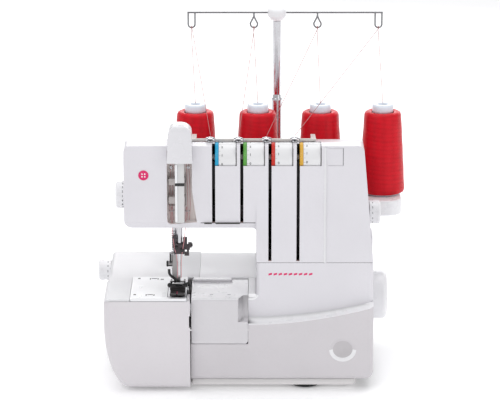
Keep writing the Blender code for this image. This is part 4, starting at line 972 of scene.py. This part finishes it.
def dress_metal():
    plain = {
        "needle_plate": ("plate", 0.25), "needle_bar": ("steel", 0.15), "presser_bar": ("steel", 0.15),
        "foot_holder": ("shank", 0.25), "needle_clamp": ("clamp", 0.3), "presser_foot": ("dark_steel", 0.25),
        "upper_knife": ("dark_steel", 0.2), "lower_knife": ("steel", 0.1), "feed_dog": ("steel", 0.0),
        "upper_looper": ("chrome", 0.2), "lower_looper": ("chrome", 0.2), "left_needle": ("chrome", 0.0),
        "right_needle": ("chrome", 0.0), "main_shaft": ("steel", 0.3), "motor": ("cast", 0.4),
        "motor_pulley": ("steel", 0.3), "drive_belt": ("rubber", 0.2),
        "power_inlet": ("black", 0.2), "power_switch": ("black", 0.3), "presser_lifter": ("bright", 0.4),
        "cloth_plate": ("enamel", 0.3),
    }
    for node, (key, width) in plain.items():
        dressed(node, key, width)
    # painted shade: frame blocks in the take-up channel take the darker channel grey
    dressed("machine_frame", ["cast", "channel_shade"], 0.4,
            zone=lambda centre, normal: 1 if centre.y < -66 and centre.z > 190 else 0)


def make_needle_details():
    unit = NODE_BODY["needle_clamp"]
    foot = NODE_BODY["foot_holder"]
    sole = NODE_BODY["presser_foot"]
    clamp_low, clamp_high = low("needle_clamp"), high("needle_clamp")
    front = clamp_low.y
    screw_head("clamp_screw_left", "Y", -83.5, 160.5, front + 0.4, -1, 1.9, "black", unit, 30)
    screw_head("clamp_screw_right", "Y", -77.5, 158.0, front + 0.4, -1, 1.9, "black", unit, 75)
    screw_head("clamp_side_screw", "X", NEEDLE.y, 162.4, clamp_high.x - 0.2, 1, 2.0, "black", unit, 50)
    holder_low = low("foot_holder")
    screw_head("shank_screw", "X", -63.0, 137.0, holder_low.x + 1.6, -1, 3.4, "black", foot, 15)
    link = [(-92.2, -67.6, 132.0), (-91.8, -68.2, 127.5), (-89.6, -68.6, 124.0), (-86.4, -68.8, 121.4),
            (-84.6, -68.8, 118.6)]
    piece("shank_link", tube_mesh("link", link, 1.5, 10, 5), "black", foot)
    piece("shank_back_rod", tube_mesh("rod", [(-90.6, -66.2, 139.0), (-90.6, -66.2, 150.5)], 0.9, 10), "black", foot)
    for index, x in enumerate((-91.0, -74.2)):
        screw_head("foot_screw_%d" % (index + 1), "Y", x, 117.0, -79.4, -1, 2.7, "black", sole, 25 + 50 * index)
    bridge = prism_mesh("bridge", "Y", rounded(-89.8, -74.8, 115.2, 118.4, 1.4), -80.6, -79.3)
    piece("foot_bridge", bridge, "black", sole)
    hook = [(-73.4, -79.4, 118.3), (-71.2, -79.8, 119.2), (-69.2, -80.0, 118.4), (-68.8, -80.2, 116.0),
            (-69.8, -80.4, 113.6)]
    piece("edge_guide_hook", tube_mesh("hook", hook, 1.35, 10, 5), "black", sole)
    coil("presser_spring", middle("presser_bar").x, middle("presser_bar").y, 152.5, 176.0, 4.1, 0.5, 9, "steel", foot)
    guide = [(-88.0, -70.5, 153.5), (-89.8, -74.0, 153.0), (-89.4, -78.6, 152.6), (-86.6, -80.6, 152.4),
             (-84.2, -80.0, 152.6)]
    piece("needle_thread_hook", tube_mesh("hook", guide, 0.45, 8, 5), "chrome", unit)
    for index, x in enumerate((-88.9, -75.6)):
        mesh = prism_mesh("rivet", "Z", rounded(x - 0.9, x + 0.9, -77.4, -75.6, 0.85), 113.4, 114.3)
        piece("foot_rivet_%d" % (index + 1), mesh, "chrome", sole)
    finger = [(-82.6, -103.4, 113.9), (-82.6, -99.0, 113.5), (-82.6, -92.0, 113.35)]
    piece("foot_guide_line", tube_mesh("line", finger, 0.22, 6), "magenta", sole)
    threads = {
        "needle_thread_left": [
            (-88.6, -71.5, 205.0), (-88.2, -74.5, 190.0), (-87.0, -79.6, 172.0), (-85.4, -81.8, 160.0),
            (-83.6, -79.8, 152.0), (-82.6, -77.4, 140.0), (-82.5, -76.9, 127.0), (-82.4, -76.6, 124.4),
        ],
        "needle_thread_right": [
            (-72.2, -71.5, 205.0), (-73.0, -75.0, 190.0), (-74.4, -79.8, 172.0), (-75.8, -81.9, 163.0),
            (-77.4, -80.4, 152.0), (-78.2, -77.6, 140.0), (-78.4, -76.9, 127.0), (-78.6, -76.6, 124.4),
        ],
    }
    for name, path in threads.items():
        piece(name, tube_mesh(name, path, 0.36, 8, 6), "pink_line", unit)


def make_channel_details():
    """Thread runs, guides and the black band in the take-up channel."""
    strip_front = -91.0
    panel = rounded(CHANNEL_LEFT + 1.3, -72.7, 206.2, 243.8, 1.0)
    piece("channel_panel", prism_mesh("panel", "Y", panel, CHANNEL_BACK + 2.2, CHANNEL_BACK + 3.0), "channel")
    band = rounded(-84.35, -73.65, 233.6, 236.9, 0.6)
    piece("strip_band", prism_mesh("band", "Y", band, strip_front - 0.35, strip_front + 1.2), "black")
    edge = prism_mesh("edge", "Y", rounded(-84.2, -81.6, 193.0, 257.4, 0.5), strip_front - 0.22, strip_front + 0.5)
    piece("strip_edge", edge, "enamel")
    groove = prism_mesh("groove", "Y", rounded(-81.45, -81.05, 193.0, 257.0, 0.18), strip_front - 0.12,
                        strip_front + 0.2)
    piece("strip_groove", groove, "pale_ink")
    for index, x in enumerate((-90.2, -87.4, -71.2, -68.6)):
        side = -1 if x < -80 else 1
        path = [(x - side * 0.8, CHANNEL_BACK - 0.5, 254.0), (x, CHANNEL_BACK - 1.0, 230.0),
                (x + side * 0.5, CHANNEL_BACK - 1.4, 205.0), (x - side * 0.6, CHANNEL_BACK - 2.2, 190.0)]
        piece("channel_thread_%d" % (index + 1), tube_mesh("thread", path, 0.26, 6, 5), "pink_line")
    for index, (x, z) in enumerate(((-89.0, 249.5), (-70.0, 249.5))):
        screw_head("channel_screw_%d" % (index + 1), "Y", x, z, CHANNEL_BACK, -1, 2.0, "steel", FIXED, 35 + 60 * index)
    for index, x in enumerate((-88.8, -71.2)):
        path = [(x - 2.4, CHANNEL_BACK, 200.6), (x - 2.4, CHANNEL_BACK - 3.4, 200.8), (x, CHANNEL_BACK - 4.8, 200.9),
                (x + 2.4, CHANNEL_BACK - 3.4, 200.8), (x + 2.4, CHANNEL_BACK, 200.6)]
        piece("channel_guide_%d" % (index + 1), tube_mesh("guide", path, 0.45, 8, 5), "chrome")


# ---------------------------------------------------------------- printed marks and small trim

def flat_marks(name, key, level, rectangles, body=FIXED):
    """Thin printed marks lying on a horizontal surface, each (x0, x1, y0, y1)."""
    points = []
    faces = []
    for x0, x1, y0, y1 in rectangles:
        first = len(points)
        points += [(x0, y0, level), (x1, y0, level), (x1, y1, level), (x0, y1, level)]
        faces.append(tuple(range(first, first + 4)))
    mesh = bpy.data.meshes.new(name)
    mesh.from_pydata([Vector(point) * MM for point in points], [], faces)
    return piece(name, mesh, key, body)


def front_marks(name, key, depth, outlines, body=FIXED):
    """Thin printed marks on an upright face, each a closed outline of (x, z)."""
    points = []
    faces = []
    for outline in outlines:
        first = len(points)
        points += [(x, depth, z) for x, z in outline]
        faces.append(tuple(range(first, first + len(outline))))
    mesh = bpy.data.meshes.new(name)
    mesh.from_pydata([Vector(point) * MM for point in points], [], faces)
    return piece(name, mesh, key, body)


def disc(x, z, radius, steps=40):
    return [(x + radius * math.cos(2 * math.pi * k / steps), z + radius * math.sin(2 * math.pi * k / steps))
            for k in range(steps)]


def make_badge():
    """A plain button on the arm's end with four sewing holes, and a row of stitches on the tower."""
    x, z = -119.0, 244.0
    profile = [(0, FACE_Y + 0.5), (5.6, FACE_Y + 0.5), (5.6, FACE_Y - 0.35), (5.3, FACE_Y - 0.6),
               (4.5, FACE_Y - 0.6), (4.2, FACE_Y - 0.42), (0, FACE_Y - 0.42)]
    piece("badge", turned("badge", "Y", x, z, profile, 64), "magenta")
    holes = [disc(x + u, z + v, 0.85, 20) for u in (-1.5, 1.5) for v in (-1.5, 1.5)]
    front_marks("badge_holes", "white_ink", FACE_Y - 0.46, holes)
    stitches = []
    for k in range(9):
        left = 18.5 + 5.6 * k
        stitches.append([(left, 129.4), (left + 3.9, 130.4), (left + 3.9, 132.6), (left, 131.6)])
    front_marks("stitch_marks", "magenta", FACE_Y - 0.06, stitches)


def make_printed_marks():
    level = PLATE_Z + 0.05
    left = low("cloth_plate").x
    marks = []
    for y, shift in ((-29.5, 0.0), (-92.0, -2.6)):
        marks += [(left + 6.2 + shift, left + 9.0 + shift, y, y + 4.6)]
        marks += [(left + 19.6 + shift, left + 21.0 + shift, y - 2, y + 3.4)]
        marks += [(left + 21.6 + shift, left + 27.6 + shift, y + 0.6, y + 3.6)]
        marks += [(left + 28.2 + shift, left + 29.6 + shift, y - 2, y + 3.4)]
    marks.append((left + 32.0, left + 35.4, -33.0, -28.6))
    flat_marks("cloth_plate_marks", "grey_ink", level, marks)
    ticks = [(left + 35.4, left + 39.4, y, y + 0.7) for y in (-97.0, -92.5, -88.0, -83.5)]
    flat_marks("cloth_plate_ticks", "pale_ink", level, ticks)
    body = NODE_BODY["looper_cover"]
    top = high("looper_cover").z + 0.05
    flat_marks("looper_cover_marks", "pale_ink", top, [(-46.6, -43.0, -91.6, -88.4), (-27.0, -23.4, -91.6, -88.4)], body)
    edge = prism_mesh("plate_edge", "Z", rounded(-71.8, -68.6, -101.2, -76.5, 0.3), 103.6, 105.4)
    piece("cutting_edge_plate", edge, "side")
    # painted light: this corner of the bed takes the lighter bed white
    corner = prism_mesh("bed_corner", "Y", rounded(LEDGE_LEFT + 0.1, 4.95, 104.1, PLATE_Z - 1.1, 1.5), -83.0, -20.2)
    piece("bed_corner", corner, "bed_right")
    screws = ((left + 10.5, -60.0), (left + 10.5, -96.0))
    for index, (x, y) in enumerate(screws):
        mesh = prism_mesh("plate_screw", "Z", rounded(x - 2.2, x + 2.2, y - 2.2, y + 2.2, 2.15), PLATE_Z - 0.3,
                          PLATE_Z + 0.12)
        piece("plate_screw_%d" % (index + 1), mesh, "steel")


def seam(name, path, radius=0.22, key="inner", body=FIXED):
    """Thin dark line that stands for the gap between two shells."""
    return piece(name, tube_mesh(name, path, radius, 6), key, body)


def make_seams():
    right = high("front_case").x
    seam("seam_front", [(5.6, FACE_Y + 0.05, SEAM_Z + 0.15), (right - 1.2, FACE_Y + 0.05, SEAM_Z + 0.15)])
    for index in range(4):
        x = slot_x(index) + 25.1
        mesh = prism_mesh("window_edge", "Y", rounded(x - 0.35, x + 0.35, WINDOW_LOW, TOP_Z - 2.5, 0.3), FACE_Y - 0.06,
                          FACE_Y + 0.4)
        piece("window_edge_%d" % (index + 1), mesh, "inner")
    for index, (start, end) in enumerate(((-52.5, slot_x(0) - 2.0), (slot_x(0) + 2.0, slot_x(1) - 2.0))):
        gap = prism_mesh("lip_gap", "Y", rounded(start, end, 188.6, 190.0, 0.3), FACE_Y - 0.08, FACE_Y + 0.5)
        piece("lip_gap_%d" % (index + 1), gap, "inner")
    blank = prism_mesh("blank_edge", "Y", rounded(99.9, 100.5, WINDOW_LOW + 0.4, TOP_Z - 2.6, 0.25), FACE_Y - 0.06,
                       FACE_Y + 0.4)
    piece("blank_edge", blank, "grey_ink")


def make_rear_details():
    """Cooling slots and screws on the back of the lower body."""
    rear = high("rear_case").y
    # painted shade: the cooling slots are flat near-black marks standing for their openings
    outlines = []
    for k in range(9):
        z = 34.0 + 6.0 * k
        outlines.append(rounded(36.0, 92.0, z, z + 2.4, 1.1, 3))
    front_marks("rear_vents", "inner", rear + 0.06, outlines)
    for index, (x, z) in enumerate(((-50, 24), (24, 98), (112, 24), (112, 98))):
        screw_head("rear_screw_%d" % (index + 1), "Y", x, z, rear - 0.2, 1, 2.8, "steel", FIXED, 20 + 50 * index)
    plate_low = low("base_plate").z
    # painted shade: the base's vent slots are flat near-black marks standing for their openings
    slots = []
    for k in range(11):
        x = -20.0 + 8.0 * k
        slots.append((x, x + 3.0, 10.0, 52.0))
    flat_marks("base_vents", "inner", plate_low - 0.06, slots)
    for index, (x, y) in enumerate(((-118, -70), (104, -80), (-118, 70), (104, 60))):
        screw_head("base_screw_%d" % (index + 1), "Z", x, y, plate_low + 0.2, -1, 3.0, "steel", FIXED, 40 * index)


def build_all():
    dress_shells()
    dress_metal()
    make_cones()
    make_tension_dials()
    make_side_dials()
    make_handwheel()
    make_mast()
    make_guide()
    make_clips()
    make_threads()
    make_needle_details()
    make_channel_details()
    make_badge()
    make_printed_marks()
    make_seams()
    make_rear_details()


# ---------------------------------------------------------------- camera, light, floor

def make_camera():
    data = bpy.data.cameras.new("camera")
    data.sensor_width = 36.0
    data.lens = 196.36
    data.clip_start = 0.1
    data.clip_end = 60.0
    camera = bpy.data.objects.new("camera", data)
    camera.location = (-0.002, -2.9818, 0.9925)
    camera.rotation_euler = (math.radians(75.0), 0.0, 0.0)
    bpy.context.scene.collection.objects.link(camera)
    bpy.context.scene.camera = camera


def make_light(name, location, size, power, colour=(1.0, 1.0, 1.0)):
    data = bpy.data.lights.new(name, "AREA")
    data.shape = "RECTANGLE"
    data.size, data.size_y = size
    data.energy = power
    data.color = colour
    light = bpy.data.objects.new(name, data)
    light.location = location
    aim = Vector((0.0, 0.0, 0.17)) - Vector(location)
    light.rotation_mode = "QUATERNION"
    light.rotation_quaternion = aim.to_track_quat("-Z", "Y")
    light.visible_camera = False
    bpy.context.scene.collection.objects.link(light)


def make_stage():
    world = bpy.data.worlds.new("studio")
    world.use_nodes = True
    background = world.node_tree.nodes["Background"]
    background.inputs["Color"].default_value = (0.985, 0.985, 1.0, 1.0)
    background.inputs["Strength"].default_value = 0.63
    bpy.context.scene.world = world
    make_light("key", (-1.6, -2.2, 2.6), (1.8, 1.8), 23.5)
    make_light("fill", (2.4, -2.0, 1.4), (1.6, 2.2), 11.0)
    make_light("top", (0.1, 0.6, 2.8), (2.6, 2.0), 37.0)
    make_light("rear", (0.4, 1.9, 0.8), (2.2, 0.8), 10.0)
    half = 7.0
    mesh = bpy.data.meshes.new("floor")
    mesh.from_pydata([(-half, -half, 0), (half, -half, 0), (half, half, 0), (-half, half, 0)], [], [(0, 1, 2, 3)])
    n = Nodes("floor_paper")
    base = n.mix(n.span(n.noise(3.0, 4.0), 0.0, 1.0), (0.93, 0.93, 0.935), (0.95, 0.95, 0.955))
    n.link(base, n.shader.inputs["Base Color"])
    n.link(n.span(n.noise(40.0), 0.75, 0.85), n.shader.inputs["Roughness"])
    n.link(base, n.shader.inputs["Emission Color"])
    n.set(Specular_IOR_Level=0.2, Emission_Strength=0.17)
    mesh.materials.append(n.material)
    floor = bpy.data.objects.new("floor", mesh)
    bpy.context.scene.collection.objects.link(floor)


random.seed(7)
make_camera()
make_stage()
build_all()
bpy.context.scene.view_settings.view_transform = "Standard"
